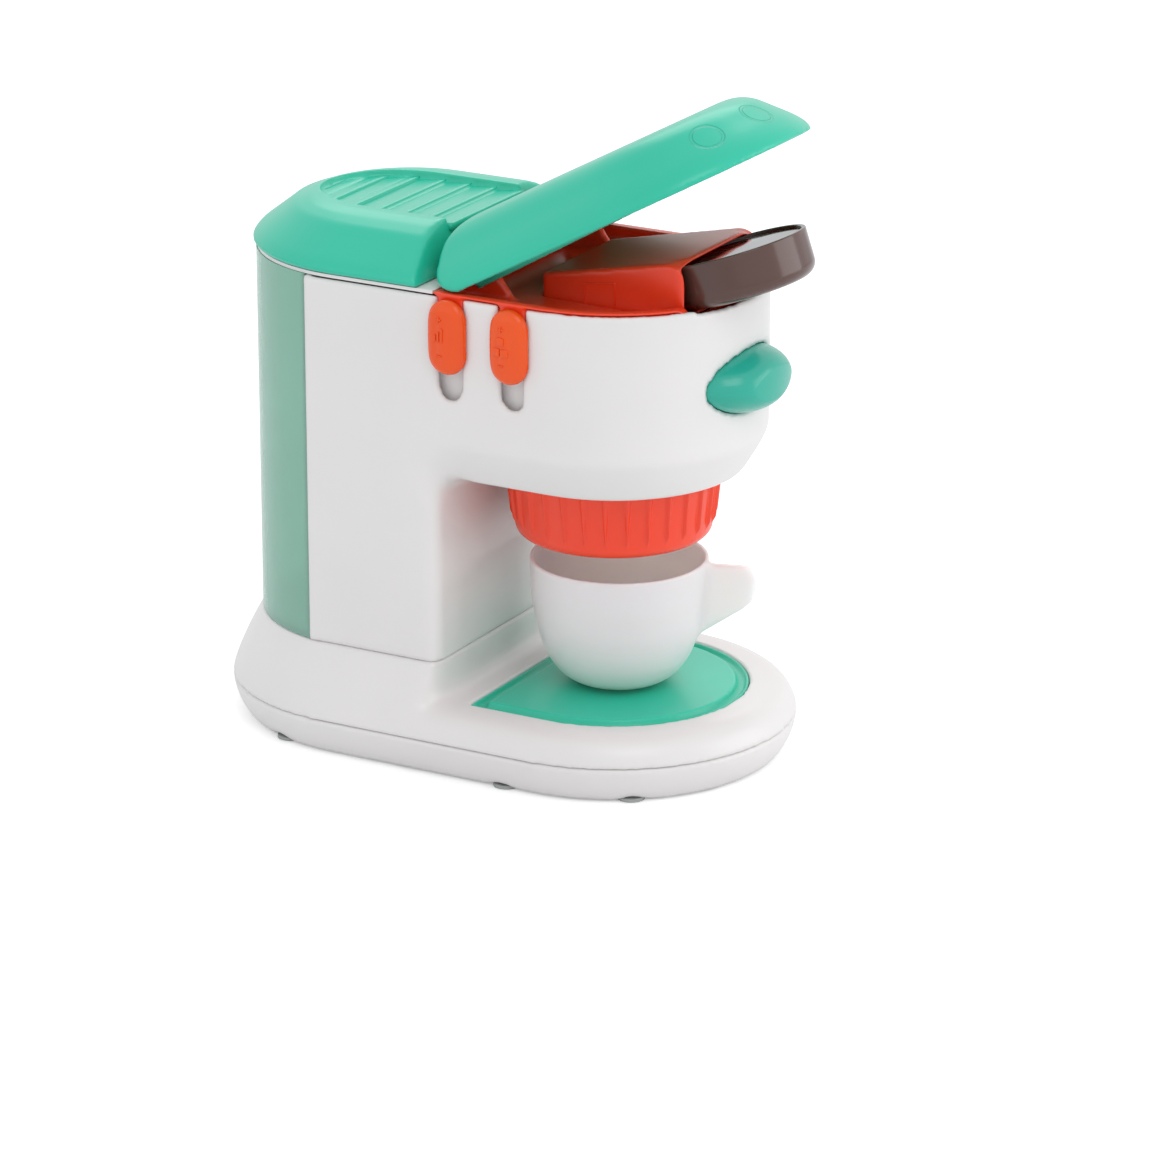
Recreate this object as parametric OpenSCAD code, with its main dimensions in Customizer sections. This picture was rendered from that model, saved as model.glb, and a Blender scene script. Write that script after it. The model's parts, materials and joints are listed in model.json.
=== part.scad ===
// Toy coffee maker: a drip base, a column with a brewing head, a half-round tank,
// a louvred rear cover, a lid lever, a sloping pod slot with a pod, two sliders,
// a push button, a ribbed outlet collar and a cup. Millimetres, +Z up.
// The origin is the centre of the base's flat underside; the front faces -Y.

/* [Base] */
// Distance between the axes of the two round ends
end_pitch = 84; // [78:1:92]
// Half width of the base at its widest line
base_r = 66.2; // [64:0.1:72]
// Half width of the flat underside
base_foot_r = 60.3; // [57:0.1:62]
// Height of the joint between the two base shells
parting_z = 14; // [12:0.5:16]
// Height of the shelf round the drip tray
shelf_z = 24.3; // [22:0.1:28]
// Height of the plinth that carries the column
plinth_z = 39.5; // [36:0.5:44]
// Wall of the base shells
base_wall = 2.4; // [2:0.1:3]
// Depth of the rounded edge between the shelf and the side
shelf_round = 10; // [7:0.5:12]
// Radius of the upright front corners of the plinth and column
corner_r = 5.5; // [3:0.5:8]

/* [Foot pads] */
// Radius of one foot pad
pad_r = 5; // [3:0.5:6]
// Thickness of the foot pads
pad_t = 1.2; // [0.8:0.1:1.6]

/* [Drip tray] */
// Radius of the tray's round front
tray_r = 49; // [45:0.5:51]
// Gap between the column's front and the tray
tray_gap = 10.3; // [8:0.1:16]
// Thickness of the tray
tray_t = 4.2; // [3.6:0.1:5]
// Width of the lip round the moat
tray_lip = 1.1; // [0.8:0.1:2]
// Width of the moat
moat_w = 3.5; // [2.5:0.1:5]
// Depth of the moat below the lip
moat_depth = 2.2; // [1.2:0.1:2.8]
// Height of the cup stand over the lip
stand_rise = 0.2; // [0.2:0.1:1]

/* [Body] */
// Half width of the column and head
body_r = 55; // [52:0.5:57]
// Height of the body's top rim
rim_z = 176; // [165:0.5:190]
// Distance from the column's front to its back
column_depth = 53; // [48:0.5:60]
// Height of the head's underside
head_floor_z = 106.5; // [98:0.5:112]
// Height of the head's sloping lower edge
head_round_h = 15.5; // [10:0.5:20]
// Depth of the head's sloping lower edge
head_round_d = 8.5; // [5:0.5:12]
// Wall of the body shell
body_wall = 2.2; // [1.8:0.1:3]

/* [Tank] */
// Wall of the tank
tank_wall = 1.8; // [1.4:0.1:2.4]
// Gap between the tank's edge and the body's outer face
tank_inset = 0.2; // [0:0.1:0.6]

/* [Rear cover] */
// Height of the cover from its lower edge to its crest
cover_h = 17.7; // [15:0.1:21]
// Overhang of the cover past the body
cover_over = 1.2; // [0.8:0.1:2]
// Half width of the cover's crest
crest_r = 30; // [27:0.5:33]
// Half width of the louvred recess
recess_r = 25.5; // [22:0.5:26]
// Depth of the louvred recess below the crest
recess_depth = 3.4; // [2.5:0.1:4]
// Distance between louvre slats
slat_pitch = 10.6; // [9:0.1:13]
// Height of a slat's front edge over the recess floor
slat_rise = 1.4; // [0.8:0.1:2]
// Number of slats
slat_count = 6; // [3:1:7]
// Distance that the cover's front edge stands behind the column's front
cover_setback = 6.3; // [5:0.1:10]
// Backward lean of the cover's front edge over its height
cover_lean = 5; // [2:0.5:7]
// Thickness of the cover
cover_t = 2.2; // [1.8:0.1:2.6]

/* [Lever] */
// Half width of the lever at its lower edge
lever_over = 0.2; // [0:0.1:1.2]
// Height of the lever's shell
lever_h = 21.8; // [20:0.1:24]
// Half width of the lever's flat top
lever_top_r = 34; // [30:0.5:38]
// Length from the lever's rear end to the axis of its round front
lever_reach = 69.6; // [64:0.1:76]
// Wall of the lever
lever_wall = 2.2; // [1.8:0.1:2.8]
// Angle at which the lever stands open
lever_open = 28.5; // [20:0.5:32]
// Distance of the lever's pin behind the column's front, negative in front
pivot_y = -6.8; // [-9:0.1:-5]
// Height of the pin over the lever's lower edge
pivot_up = 9; // [8:0.1:10]
// Distance from the pin to the lever's rear end
pivot_back = 10.5; // [9.5:0.1:11]
// Half distance between the lever's two inner ribs
rib_inset = 15.2; // [12:0.1:17]
// Depth of the ribs below the lever's lower edge
rib_drop = 2.4; // [1:0.1:2.6]
// Length of the ribs from the lever's rear end
rib_len = 76; // [60:1:78]
// Radius of the lever's pin
pin_r = 2; // [1.5:0.1:2.5]
// Radial running clearance of the pin
pin_gap = 0.05; // [0.03:0.01:0.1]

/* [Deck] */
// Thickness of the deck's flange on the rim
flange_t = 1; // [0.8:0.1:1.5]
// Depth of the deck's floor below the flange
deck_drop = 4.8; // [4:0.1:6]
// Thickness of the deck's floor and skirt
deck_t = 1.8; // [1.5:0.1:2.2]
// Gap between the closed lever and the flange
lid_gap = 0.6; // [0.4:0.1:1]

/* [Pod slot] */
// Slope of the housing's roof
roof_tilt = 11.7; // [8:0.1:14]
// Slope of the chute that the pod slides on
chute_tilt = 19; // [15:0.5:22]
// Half width of the housing at its mouth
slot_half = 28.2; // [28:0.1:30]
// Half width of the housing at its rear end
slot_rear_half = 25; // [22:0.5:28]
// Wall of the housing
slot_wall = 1.8; // [1.5:0.1:2.2]
// Distance from the housing's mouth to the head's foremost edge
slot_mouth = 12.3; // [11:0.1:16]
// Length of the housing
slot_len = 58; // [54:0.5:62]
// Height of the mouth's upper edge over the rim
mouth_rise = 16.3; // [15:0.1:18]
// Radius of the mouth's upper corner
mouth_round = 4; // [2:0.5:6]
// Depth of the dip in the rim in front of the mouth
mouth_dip = 1; // [0.5:0.1:2]

/* [Pod] */
// Radius of the pod
pod_r = 25.5; // [24:0.1:26]
// Height of the pod
pod_h = 16.5; // [15:0.1:17]
// Radius of the pod's rounded lower edge
pod_round = 5; // [3:0.5:6]
// Thickness of the pod's lid
pod_lid_t = 0.8; // [0.5:0.1:1.5]
// Distance from the pod's axis to the head's foremost edge when it is out
pod_back = 2; // [0:0.1:4]
// Height of the pod's underside over the rim at its axis
pod_up = 0.8; // [0.6:0.1:2]

/* [Sliders] */
// Distance from the column's front to the rear slider
slider_y = -6.6; // [-8:0.1:-6]
// Distance between the two sliders
slider_pitch = 24.7; // [20:0.1:28]
// Height of a slider's knob
knob_h = 27; // [22:0.5:30]
// Width of a slider's knob
knob_w = 15; // [13:0.5:17]
// Thickness of a slider's knob
knob_t = 4.4; // [4:0.1:6]
// Width of a slot
slot_w = 8.6; // [7:0.1:10]
// Travel of a slider
slider_travel = 10; // [6:0.5:10]
// Gap between a knob's upper end and the rim
knob_gap = 0.6; // [0.4:0.1:2]

/* [Button] */
// Half width of the front button
button_half = 23.4; // [20:0.2:26]
// Half height of the front button
button_rise = 11.4; // [9:0.2:13]
// Height of the button's centre below the rim
button_drop = 30.6; // [27:0.2:34]
// Distance that the button stands out of the head
button_out = 9.8; // [6:0.2:11]
// Travel of the button
button_travel = 3; // [2:0.5:4]
// Radius of the button's stem
stem_r = 4; // [3:0.5:5]

/* [Collar] */
// Radius of the collar at its top
collar_top_r = 38.2; // [36:0.1:40]
// Radius of the collar near its foot
collar_low_r = 35.4; // [33:0.1:38]
// Height of the collar below the head
collar_h = 25.4; // [20:0.1:26]
// Number of ribs round the collar
rib_count = 30; // [16:1:36]
// Radius of the outlet nozzle
nozzle_r = 9; // [7:0.5:12]

/* [Cup] */
// Outer radius of the cup's rim
cup_r = 32.3; // [28:0.1:33]
// Height of the cup
cup_h = 47.4; // [40:0.1:50]
// Wall of the cup
cup_wall = 1.6; // [1.2:0.1:2.2]
// Radius of the cup's foot ring
cup_foot_r = 12.5; // [10:0.5:15]
// Distance from the head's axis to the cup's axis
cup_forward = 2.2; // [0:0.1:4]
// Length of the cup's handle past the rim
handle_len = 18; // [12:0.5:22]
// Direction of the cup's handle, from +X
handle_turn = -72; // [-90:1:-50]

/* [Fasteners] */
// Radius of a screw's shank
screw_r = 1.4; // [1.2:0.1:1.6]
// Radius of a screw's head
screw_head_r = 2.8; // [2.5:0.1:3.2]

/* [Hidden] */
$fn = 96;

WHITE = "#E9E7E7";
TEAL = "#41BFA0";
ORANGE = "#F2502E";
KNOB = "#F5622A";
BROWN = "#5E4139";
CLEAR_TEAL = "#7DBBA6";
RUBBER = "#5B615E";
STEEL = "#A9ADB0";

// small amounts used all over
snug = 0.15;
bite = 0.01;
front_y = -end_pitch / 2;
rear_y = end_pitch / 2;
head_tip_y = front_y - body_r;
flange_z = rim_z + snug + flange_t;
deck_z = flange_z - deck_drop;
lid_z = flange_z + lid_gap;
lever_r = body_r + lever_over;
rib_x = lever_r - rib_inset;
pivot_z = lid_z + pivot_up;
lever_rear_y = pivot_y + pivot_back;
pad_ring = base_foot_r - 3.6;
boss_r = 4.4;
boss_ring = base_foot_r - boss_r - 1;

// ---------------------------------------------------------------- helpers

// both sides of a half outline given as [half width, height] pairs, bottom to top
function both_sides(half) = concat(
    half,
    [for (i = [len(half) - 1 : -1 : 0]) [-half[i][0], half[i][1]]]
);

// a half outline closed on the axis
function to_axis(half) = concat([[0, half[0][1]]], half, [[0, half[len(half) - 1][1]]]);

// half of a solid of revolution, on the +Y side of its axis
module half_turn(half) {
    rotate_extrude(angle = 180) polygon(to_axis(half));
}

// round rear end and straight flanks as far as y0
module rear_loaf(half, y0) {
    translate([0, rear_y, 0]) half_turn(half);
    translate([0, rear_y, 0]) rotate([90, 0, 0]) linear_extrude(rear_y - y0) polygon(both_sides(half));
}

// round front end at yc and straight flanks as far as y1
module front_loaf(half, yc, y1) {
    translate([0, yc, 0]) rotate([0, 0, 180]) half_turn(half);
    translate([0, y1, 0]) rotate([90, 0, 0]) linear_extrude(y1 - yc) polygon(both_sides(half));
}

// both round ends and the straight flanks between them
module full_loaf(half) {
    front_loaf(half, front_y, 0);
    rear_loaf(half, 0);
}

// D outline: round front of radius r about the front axis, square rear at y1
module front_outline(r, y1) {
    translate([0, front_y]) intersection() {
        circle(r);
        translate([-r, -r]) square([2 * r, r]);
    }
    translate([-r, front_y]) square([2 * r, y1 - front_y]);
}

// upright pill outline, round at both ends
module pill(w, h) {
    translate([0, (h - w) / 2]) circle(w / 2);
    translate([0, -(h - w) / 2]) circle(w / 2);
    translate([-w / 2, -(h - w) / 2]) square([w, h - w]);
}

// cylinder along X, centred
module x_rod(r, len) {
    rotate([0, 90, 0]) cylinder(r = r, h = len, center = true);
}

// rectangle outline with its two lower corners rounded
module corner_box(half, depth, r) {
    translate([-half + r, 0]) square([2 * (half - r), depth]);
    translate([-half, r]) square([2 * half, depth - r]);
    for (s = [-1, 1]) translate([s * (half - r), r]) circle(r);
}

// countersunk screw pointing up, with its head's underside at z = 0
module screw(len) {
    head_h = 1.8;
    difference() {
        translate([0, 0, -head_h]) cylinder(r = screw_head_r, h = head_h, $fn = 32);
        translate([0, 0, -head_h - bite]) for (a = [0, 90])
            rotate([0, 0, a]) translate([-1.6, -0.35, 0]) cube([3.2, 0.7, 1]);
    }
    cylinder(r = screw_r, h = len, $fn = 32);
}

// ---------------------------------------------------------------- base

// half outline of the base's side between its foot and its widest line
lower_side = [for (z = [0, 3, 6, 9, 12])
    [base_r - (base_r - base_foot_r) * pow(1 - z / parting_z, 2), z / 14 * parting_z]];
plinth_side = [for (i = [0 : 1 : 6])
    let (t = i / 6)
    [base_r - (base_r - body_r) * pow(t, 1.3), parting_z + (plinth_z - parting_z) * t]];
shelf_side = [for (i = [0 : 1 : 6])
    let (t = sin(i * 15))
    [base_r - shelf_round * (1 - cos(i * 15)), parting_z + (shelf_z - parting_z) * t]];

function inset(half, d) = [for (q = half) [q[0] - d, q[1]]];

base_screw_places = [
    [25, front_y - sqrt(pow(boss_ring, 2) - pow(25, 2))],
    [boss_ring, rear_y - 32],
    [33, rear_y + sqrt(pow(boss_ring, 2) - pow(33, 2))]
];
pad_places = [
    [pad_ring, front_y + 12],
    [pad_ring * sin(55), front_y - pad_ring * cos(55)],
    [pad_ring * cos(21), rear_y + pad_ring * sin(21)]
];
counterbore_h = 6;
base_screw_len = 14;

module mirrored_places(places) {
    for (s = [-1, 1], q = places) translate([s * q[0], q[1], 0]) children();
}

module base_lower() {
    side = concat(lower_side, [[base_r, parting_z]]);
    color(WHITE) difference() {
        union() {
            difference() {
                full_loaf(side);
                translate([0, 0, base_wall])
                    linear_extrude(parting_z) base_cavity(base_foot_r - base_wall);
            }
            mirrored_places(base_screw_places) cylinder(r = boss_r, h = parting_z - snug);
            base_grid();
        }
        mirrored_places(base_screw_places) {
            translate([0, 0, -bite]) cylinder(r = screw_head_r + 0.3, h = counterbore_h);
            translate([0, 0, -bite]) cylinder(r = screw_r + 0.2, h = parting_z);
        }
        mirrored_places(pad_places)
            translate([0, 0, -bite]) cylinder(r = pad_r + snug, h = pad_t + snug);
    }
}

// stiffening ribs on the floor of the lower shell
module base_grid() {
    rib_t = 1.6;
    rib_h = 6;
    span = base_foot_r - base_wall + bite;
    for (y = [front_y, 0, rear_y])
        translate([-span, y - rib_t / 2, bite]) cube([2 * span, rib_t, rib_h]);
    for (x = [-20, 20])
        translate([x - rib_t / 2, front_y, bite]) cube([rib_t, end_pitch, rib_h]);
}

module base_cavity(r) {
    for (y = [front_y, rear_y]) translate([0, y]) circle(r);
    translate([-r, front_y]) square([2 * r, end_pitch]);
}

module base_upper() {
    shelf_t = 2.2;
    color(WHITE) difference() {
        union() {
            difference() {
                base_upper_skin();
                translate([0, 0, parting_z - bite])
                    linear_extrude(shelf_z - shelf_t - parting_z) base_cavity(base_r - shelf_round - 1);
                translate([0, 0, parting_z - bite]) linear_extrude(plinth_z - base_wall - parting_z)
                    intersection() {
                        base_cavity(body_r - 2 * base_wall);
                        translate([-body_r, base_wall]) square([2 * body_r, 2 * end_pitch]);
                    }
            }
            tray_well();
            mirrored_places(base_screw_places)
                translate([0, 0, parting_z + snug]) cylinder(r = boss_r, h = shelf_z - parting_z - 1);
        }
        translate([0, 0, shelf_z - tray_t - snug]) linear_extrude(tray_t + 1) tray_outline(snug);
        mirrored_places(base_screw_places)
            translate([0, 0, parting_z - bite]) cylinder(r = screw_r + bite, h = base_screw_len - 6);
        body_screw_places() translate([0, 0, plinth_z - base_wall - 1]) cylinder(r = screw_r + 0.2, h = 9);
    }
}

module base_upper_skin() {
    full_loaf(shelf_side);
    intersection() {
        rear_loaf(plinth_side, -1);
        translate([0, 0, parting_z]) linear_extrude(plinth_z)
            corner_box(base_r + 2, 2 * end_pitch, corner_r + base_r + 2 - body_r);
    }
}

// floor and wall under the drip tray
module tray_well() {
    well_t = 2;
    translate([0, 0, shelf_z - tray_t - snug - well_t])
        linear_extrude(tray_t + well_t - 1) tray_outline(snug + 1.6);
}

module tray_outline(grow) {
    front_outline(tray_r + grow, -tray_gap + grow);
}

module foot_pads() {
    color(RUBBER) mirrored_places(pad_places) cylinder(r = pad_r, h = pad_t, $fn = 48);
}

module base_screws() {
    color(STEEL) mirrored_places(base_screw_places)
        translate([0, 0, counterbore_h - bite]) screw(base_screw_len);
}

module drip_tray() {
    z0 = shelf_z - tray_t;
    moat_in = tray_lip + moat_w;
    color(TEAL) difference() {
        translate([0, 0, z0]) linear_extrude(tray_t + stand_rise) tray_outline(0);
        translate([0, 0, shelf_z - moat_depth]) linear_extrude(tray_t) difference() {
            tray_outline(-tray_lip);
            tray_outline(-moat_in);
        }
        translate([0, 0, shelf_z]) linear_extrude(tray_t) difference() {
            tray_outline(1);
            tray_outline(-moat_in);
        }
    }
}

// ---------------------------------------------------------------- body

// half outline of the head, drawn in below by a curve that steepens into the flank
head_side = concat(
    [for (i = [0 : 1 : 5])
        let (t = i / 6)
        [body_r - head_round_d * pow(1 - t, 2.1), head_floor_z + head_round_h * t]],
    [[body_r, head_floor_z + head_round_h], [body_r, rim_z]]
);
inner_r = body_r - body_wall;
column_back = column_depth;
post_x = body_r - 11;
post_r = 4;
post_h = 22;
deck_post_z = deck_z - deck_t - snug;

module body_screw_places() {
    for (x = [-1, 1], y = [11, column_back - 11]) translate([x * post_x, y, 0]) children();
}

deck_screw_r = inner_r - 5;
deck_screw_turns = [10, 40];
deck_screw_places = [for (a = deck_screw_turns)
    [deck_screw_r * cos(a), front_y - deck_screw_r * sin(a)]];

slider_places = [slider_y, slider_y - slider_pitch];
slot_low_z = rim_z - knob_gap - knob_h - slider_travel;
button_z = rim_z - button_drop;

module body_shell() {
    color(WHITE) difference() {
        union() {
            difference() {
                body_outer();
                body_cavity();
            }
            body_screw_places() translate([0, 0, plinth_z + snug]) cylinder(r = post_r, h = post_h);
            for (x = [-1, 1], y = [11, column_back - 11])
                translate([min(x * post_x, x * inner_r), y - 0.8, plinth_z + snug])
                    cube([abs(inner_r - post_x), 1.6, post_h]);
            deck_posts();
        }
        for (y = slider_places) slider_slot(y);
        button_prism(button_gap, 2 * body_r, 20);
        translate([-slot_half, head_tip_y - 1, rim_z - mouth_dip])
            cube([2 * slot_half, slot_mouth + 1, mouth_dip + 1]);
        translate([0, front_y, head_floor_z - 1]) cylinder(r = nozzle_r + 3, h = body_wall + 2);
        nozzle_screw_places() translate([0, 0, head_floor_z - 1]) cylinder(r = screw_r + bite, h = 9);
        body_screw_places() translate([0, 0, plinth_z - 1]) cylinder(r = screw_r + bite, h = 12);
        mirrored_places(deck_screw_places)
            translate([0, 0, deck_post_z - 12]) cylinder(r = screw_r + bite, h = 13);
    }
}

module body_outer() {
    front_loaf(head_side, front_y, 0);
    translate([0, 0, head_floor_z + head_round_h / 2])
        linear_extrude(rim_z - head_floor_z - head_round_h / 2)
        translate([-body_r, 0]) square([2 * body_r, column_back]);
    translate([0, 0, plinth_z + bite]) linear_extrude(head_floor_z + head_round_h / 2 - plinth_z)
        corner_box(body_r, column_back, corner_r);
}

module body_cavity() {
    side = concat(
        [for (q = head_side) if (q[1] < rim_z) [q[0] - body_wall, max(q[1], head_floor_z + body_wall)]],
        [[inner_r, rim_z + 1]]
    );
    front_loaf(side, front_y, 0);
    translate([0, 0, head_floor_z + head_round_h / 2])
        linear_extrude(rim_z) translate([-inner_r - bite, -1])
        square([2 * (inner_r + bite), column_back - body_wall + 1]);
    translate([0, 0, plinth_z - 1]) linear_extrude(head_floor_z + head_round_h - plinth_z)
        translate([-inner_r + bite, body_wall])
        square([2 * (inner_r - bite), column_back - 2 * body_wall - bite]);
}

// posts on the inner wall that take the deck's screws
module deck_posts() {
    h = 16;
    translate([0, front_y, 0]) for (m = [0, 1], a = deck_screw_turns)
        mirror([m, 0, 0]) rotate([0, 0, -a]) translate([deck_screw_r, 0, deck_post_z - h]) {
            cylinder(r = post_r, h = h);
            translate([0, -1, 0]) cube([6, 2, h]);
        }
}

// open-topped slot through the left flank, round at its foot and flared at the rim
module slider_slot(y) {
    z0 = slot_low_z + slot_w / 2;
    flare = 0.9;
    translate([-body_r, y, z0]) x_rod(slot_w / 2, 3 * body_wall);
    translate([-body_r - body_wall, y - slot_w / 2, z0]) cube([3 * body_wall, slot_w, rim_z - z0 + 1]);
    translate([-body_r - body_wall, y - slot_w / 2 - flare, rim_z - 8])
        cube([3 * body_wall, slot_w + 2 * flare, 10]);
}

module body_screws() {
    color(STEEL) body_screw_places() translate([0, 0, plinth_z - base_wall - bite]) screw(10);
}

// ---------------------------------------------------------------- tank, cover and top plate

tank_r = body_r - tank_inset;
tank_z = plinth_z + 0.2;
tank_top = rim_z;
plate_t = 1.2;
plate_z = rim_z + snug;

// rear outline: round rear end of radius r, square front at y0
module rear_outline(r, y0) {
    translate([0, rear_y]) intersection() {
        circle(r);
        translate([-r, y0 - rear_y]) square([2 * r, 2 * r]);
    }
}

module water_tank() {
    y0 = column_back + 0.2;
    color(CLEAR_TEAL) difference() {
        translate([0, 0, tank_z]) linear_extrude(tank_top - tank_z) rear_outline(tank_r, y0);
        translate([0, 0, tank_z + tank_wall])
            linear_extrude(tank_top) rear_outline(tank_r - tank_wall, y0 + tank_wall);
    }
}

module top_plate() {
    inset_r = 0.6;
    color(WHITE) difference() {
        translate([0, 0, plate_z]) linear_extrude(plate_t) {
            rear_outline(body_r - inset_r, rear_y);
            translate([-body_r + inset_r, 0.3]) square([2 * (body_r - inset_r), rear_y - 0.3]);
        }
        cover_screw_places() translate([0, 0, plate_z - 1]) cylinder(r = screw_r + 0.2, h = plate_t + 2);
    }
}

cover_z = plate_z + plate_t + snug;
cover_r = body_r + cover_over;
crest_z = cover_z + cover_h;
// half outline of the cover: rounded lower edge, sloping flank, flat crest
cover_side = [
    [cover_r - 1.4, cover_z],
    [cover_r, cover_z + 1.8],
    [cover_r - 2.4, cover_z + 4.8],
    [cover_r - 15, cover_z + 0.82 * cover_h],
    [crest_r + 5, cover_z + 0.95 * cover_h],
    [crest_r, crest_z]
];

module cover_screw_places() {
    for (s = [-1, 1]) translate([s * (body_r - 17), rear_y, 0]) children();
}

module rear_cover() {
    color(TEAL) difference() {
        union() {
            difference() {
                cover_block(cover_side, 0);
                difference() {
                    translate([0, 0, -cover_t]) cover_block(inset(cover_side, cover_t), cover_t + 0.6);
                    translate([-cover_r, -cover_r, crest_z - recess_depth - cover_t])
                        cube([2 * cover_r, 4 * cover_r, cover_h]);
                }
                recess_cut();
            }
            intersection() {
                louvres();
                cover_block(cover_side, 0);
            }
            intersection() {
                cover_screw_places() translate([0, 0, cover_z]) cylinder(r = 3.6, h = cover_h);
                cover_block(cover_side, 0);
            }
        }
        cover_screw_places() translate([0, 0, cover_z - 1]) cylinder(r = screw_r + bite, h = 9);
    }
}

// the cover's form, cut off in front by a plane that leans back
module cover_block(side, back) {
    lean = atan(cover_lean / cover_h);
    difference() {
        rear_loaf(side, cover_setback - 1);
        translate([-2 * cover_r, cover_setback + back, cover_z]) rotate([-lean, 0, 0])
            translate([0, -3 * cover_h, -cover_h]) cube([4 * cover_r, 3 * cover_h, 3 * cover_h]);
    }
}

module recess_cut() {
    translate([0, 0, crest_z - recess_depth]) linear_extrude(2 * recess_depth) {
        translate([0, rear_y]) circle(recess_r);
        translate([-recess_r, -1]) square([2 * recess_r, rear_y + 1]);
    }
}

// saw-tooth slats across the recess, each one raised at its front edge
module louvres() {
    z0 = crest_z - recess_depth - bite;
    y0 = cover_setback + 2.6;
    intersection() {
        translate([recess_r + bite, y0, z0]) rotate([90, 0, -90]) mirror([1, 0, 0])
            linear_extrude(2 * recess_r + 2 * bite)
            for (i = [0 : 1 : slat_count - 1]) translate([i * slat_pitch, 0])
                polygon([[0, 0], [slat_pitch, 0], [slat_pitch, 0.3], [0.3, slat_rise], [0, slat_rise - 0.3]]);
        translate([0, 0, z0 - 1]) linear_extrude(10) {
            translate([0, rear_y]) circle(recess_r + bite);
            translate([-recess_r - bite, -1]) square([2 * recess_r + 2 * bite, rear_y + 1]);
        }
    }
}

module cover_screws() {
    color(STEEL) cover_screw_places() translate([0, 0, plate_z - bite]) screw(8);
}

// ---------------------------------------------------------------- deck and pod slot

skirt_r = inner_r - 0.2;
mouth_y = head_tip_y + slot_mouth;
slot_rear_y = mouth_y + slot_len;
pod_y = head_tip_y + pod_back;
pod_z = rim_z + pod_up;
chute_gap = 0.3;
// height of the chute's upper face
function chute_z(y) = pod_z - chute_gap / cos(chute_tilt) - (y - pod_y) * tan(chute_tilt);
// height of the roof's upper face
function roof_z(y) = rim_z + mouth_rise - (y - mouth_y) * tan(roof_tilt);

ear_x = rib_x - 3.6;
ear_t = 3;
ear_r = 5;

module top_deck() {
    color(ORANGE) {
        difference() {
            union() {
                translate([0, 0, rim_z + snug]) linear_extrude(flange_t)
                    front_outline(body_r - snug, 0);
                translate([0, 0, deck_z - deck_t]) linear_extrude(flange_z - deck_z + deck_t - bite)
                    front_outline(skirt_r, 0);
            }
            translate([0, 0, deck_z]) linear_extrude(deck_drop + 1) front_outline(skirt_r - deck_t, -deck_t);
            translate([0, 0, deck_z - deck_t - 1]) linear_extrude(deck_t + deck_drop + 3) slot_plan(0.2, 0.2);
            pod_way(slot_half - bite, -chute_gap);
            translate([-slot_half, head_tip_y - 1, rim_z - mouth_dip])
                cube([2 * slot_half, slot_mouth + 1, mouth_dip + flange_t + 1]);
            mirrored_places(deck_screw_places)
                translate([0, 0, deck_z - deck_t - 1]) cylinder(r = screw_r + 0.2, h = deck_t + 2);
        }
        for (y = slider_places) slot_tab(y);
        for (s = [-1, 1]) lever_ear(s);
    }
}

// room that the pod passes through, of a given half width and from a given height over the chute
module pod_way(half, low) {
    on_chute() translate([-half, -2 * pod_r, low]) cube([2 * half, 3 * pod_r, pod_h + chute_gap - low]);
}

// tab that closes the open top of a slider's slot
module slot_tab(y) {
    tab_w = slot_w + 1.4;
    tab_h = 7;
    translate([-body_r + 0.5, y - tab_w / 2, rim_z - tab_h])
        cube([body_wall - 0.3, tab_w, tab_h + snug + bite]);
}

// ear that carries the lever's pin, on a foot that spreads on the deck
module lever_ear(s) {
    foot = 16;
    difference() {
        translate([s * ear_x - ear_t / 2, 0, 0]) rotate([90, 0, 90]) linear_extrude(ear_t) {
            translate([pivot_y, pivot_z]) circle(ear_r);
            polygon([
                [pivot_y - foot, deck_z - bite],
                [pivot_y + ear_r - 1, deck_z - bite],
                [pivot_y + ear_r, pivot_z],
                [pivot_y - ear_r, pivot_z]
            ]);
        }
        translate([0, pivot_y, pivot_z]) x_rod(pin_r + pin_gap, 4 * rib_x);
    }
}

module deck_screws() {
    color(STEEL) mirrored_places(deck_screw_places)
        translate([0, 0, deck_z + bite]) rotate([180, 0, 0]) screw(9);
}

// plan of the housing, narrowing to the rear, grown by g at its sides and f in front
module slot_plan(g, f) {
    polygon([
        [-slot_half - g, mouth_y - f], [slot_half + g, mouth_y - f],
        [slot_rear_half + g, slot_rear_y + g], [-slot_rear_half - g, slot_rear_y + g]
    ]);
}

// side view of the housing as a prism across its width
module slot_profile(g, f) {
    translate([-slot_half - 1, 0, 0]) rotate([90, 0, 90]) linear_extrude(2 * slot_half + 2) difference() {
        polygon([
            [mouth_y - f, chute_z(mouth_y - f) - slot_wall - g],
            [slot_rear_y + g, chute_z(slot_rear_y + g) - slot_wall - g],
            [slot_rear_y + g, roof_z(slot_rear_y + g) + g],
            [mouth_y - f, roof_z(mouth_y - f) + g]
        ]);
        if (f == 0) difference() {
            translate([mouth_y - 1, roof_z(mouth_y) - mouth_round]) square([mouth_round + 0.6, 2 * mouth_round]);
            translate([mouth_y + mouth_round, roof_z(mouth_y) - mouth_round]) circle(mouth_round);
        }
    }
}

// housing for the pod: two cheeks, a sloping roof, a rear wall and the chute
module pod_slot() {
    color(ORANGE) difference() {
        intersection() {
            slot_profile(0, 0);
            translate([0, 0, rim_z - 3 * pod_h]) linear_extrude(5 * pod_h) slot_plan(0, 0);
        }
        intersection() {
            slot_profile(-slot_wall, 1);
            translate([0, 0, rim_z - 3 * pod_h]) linear_extrude(5 * pod_h) slot_plan(-slot_wall, 1);
        }
        pod_way(slot_half - slot_wall - 0.6, pod_h / 2);
    }
}

// ---------------------------------------------------------------- pod and pusher

pusher_t = 2.5;
pusher_half = 18;
pusher_h = 13;

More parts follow.
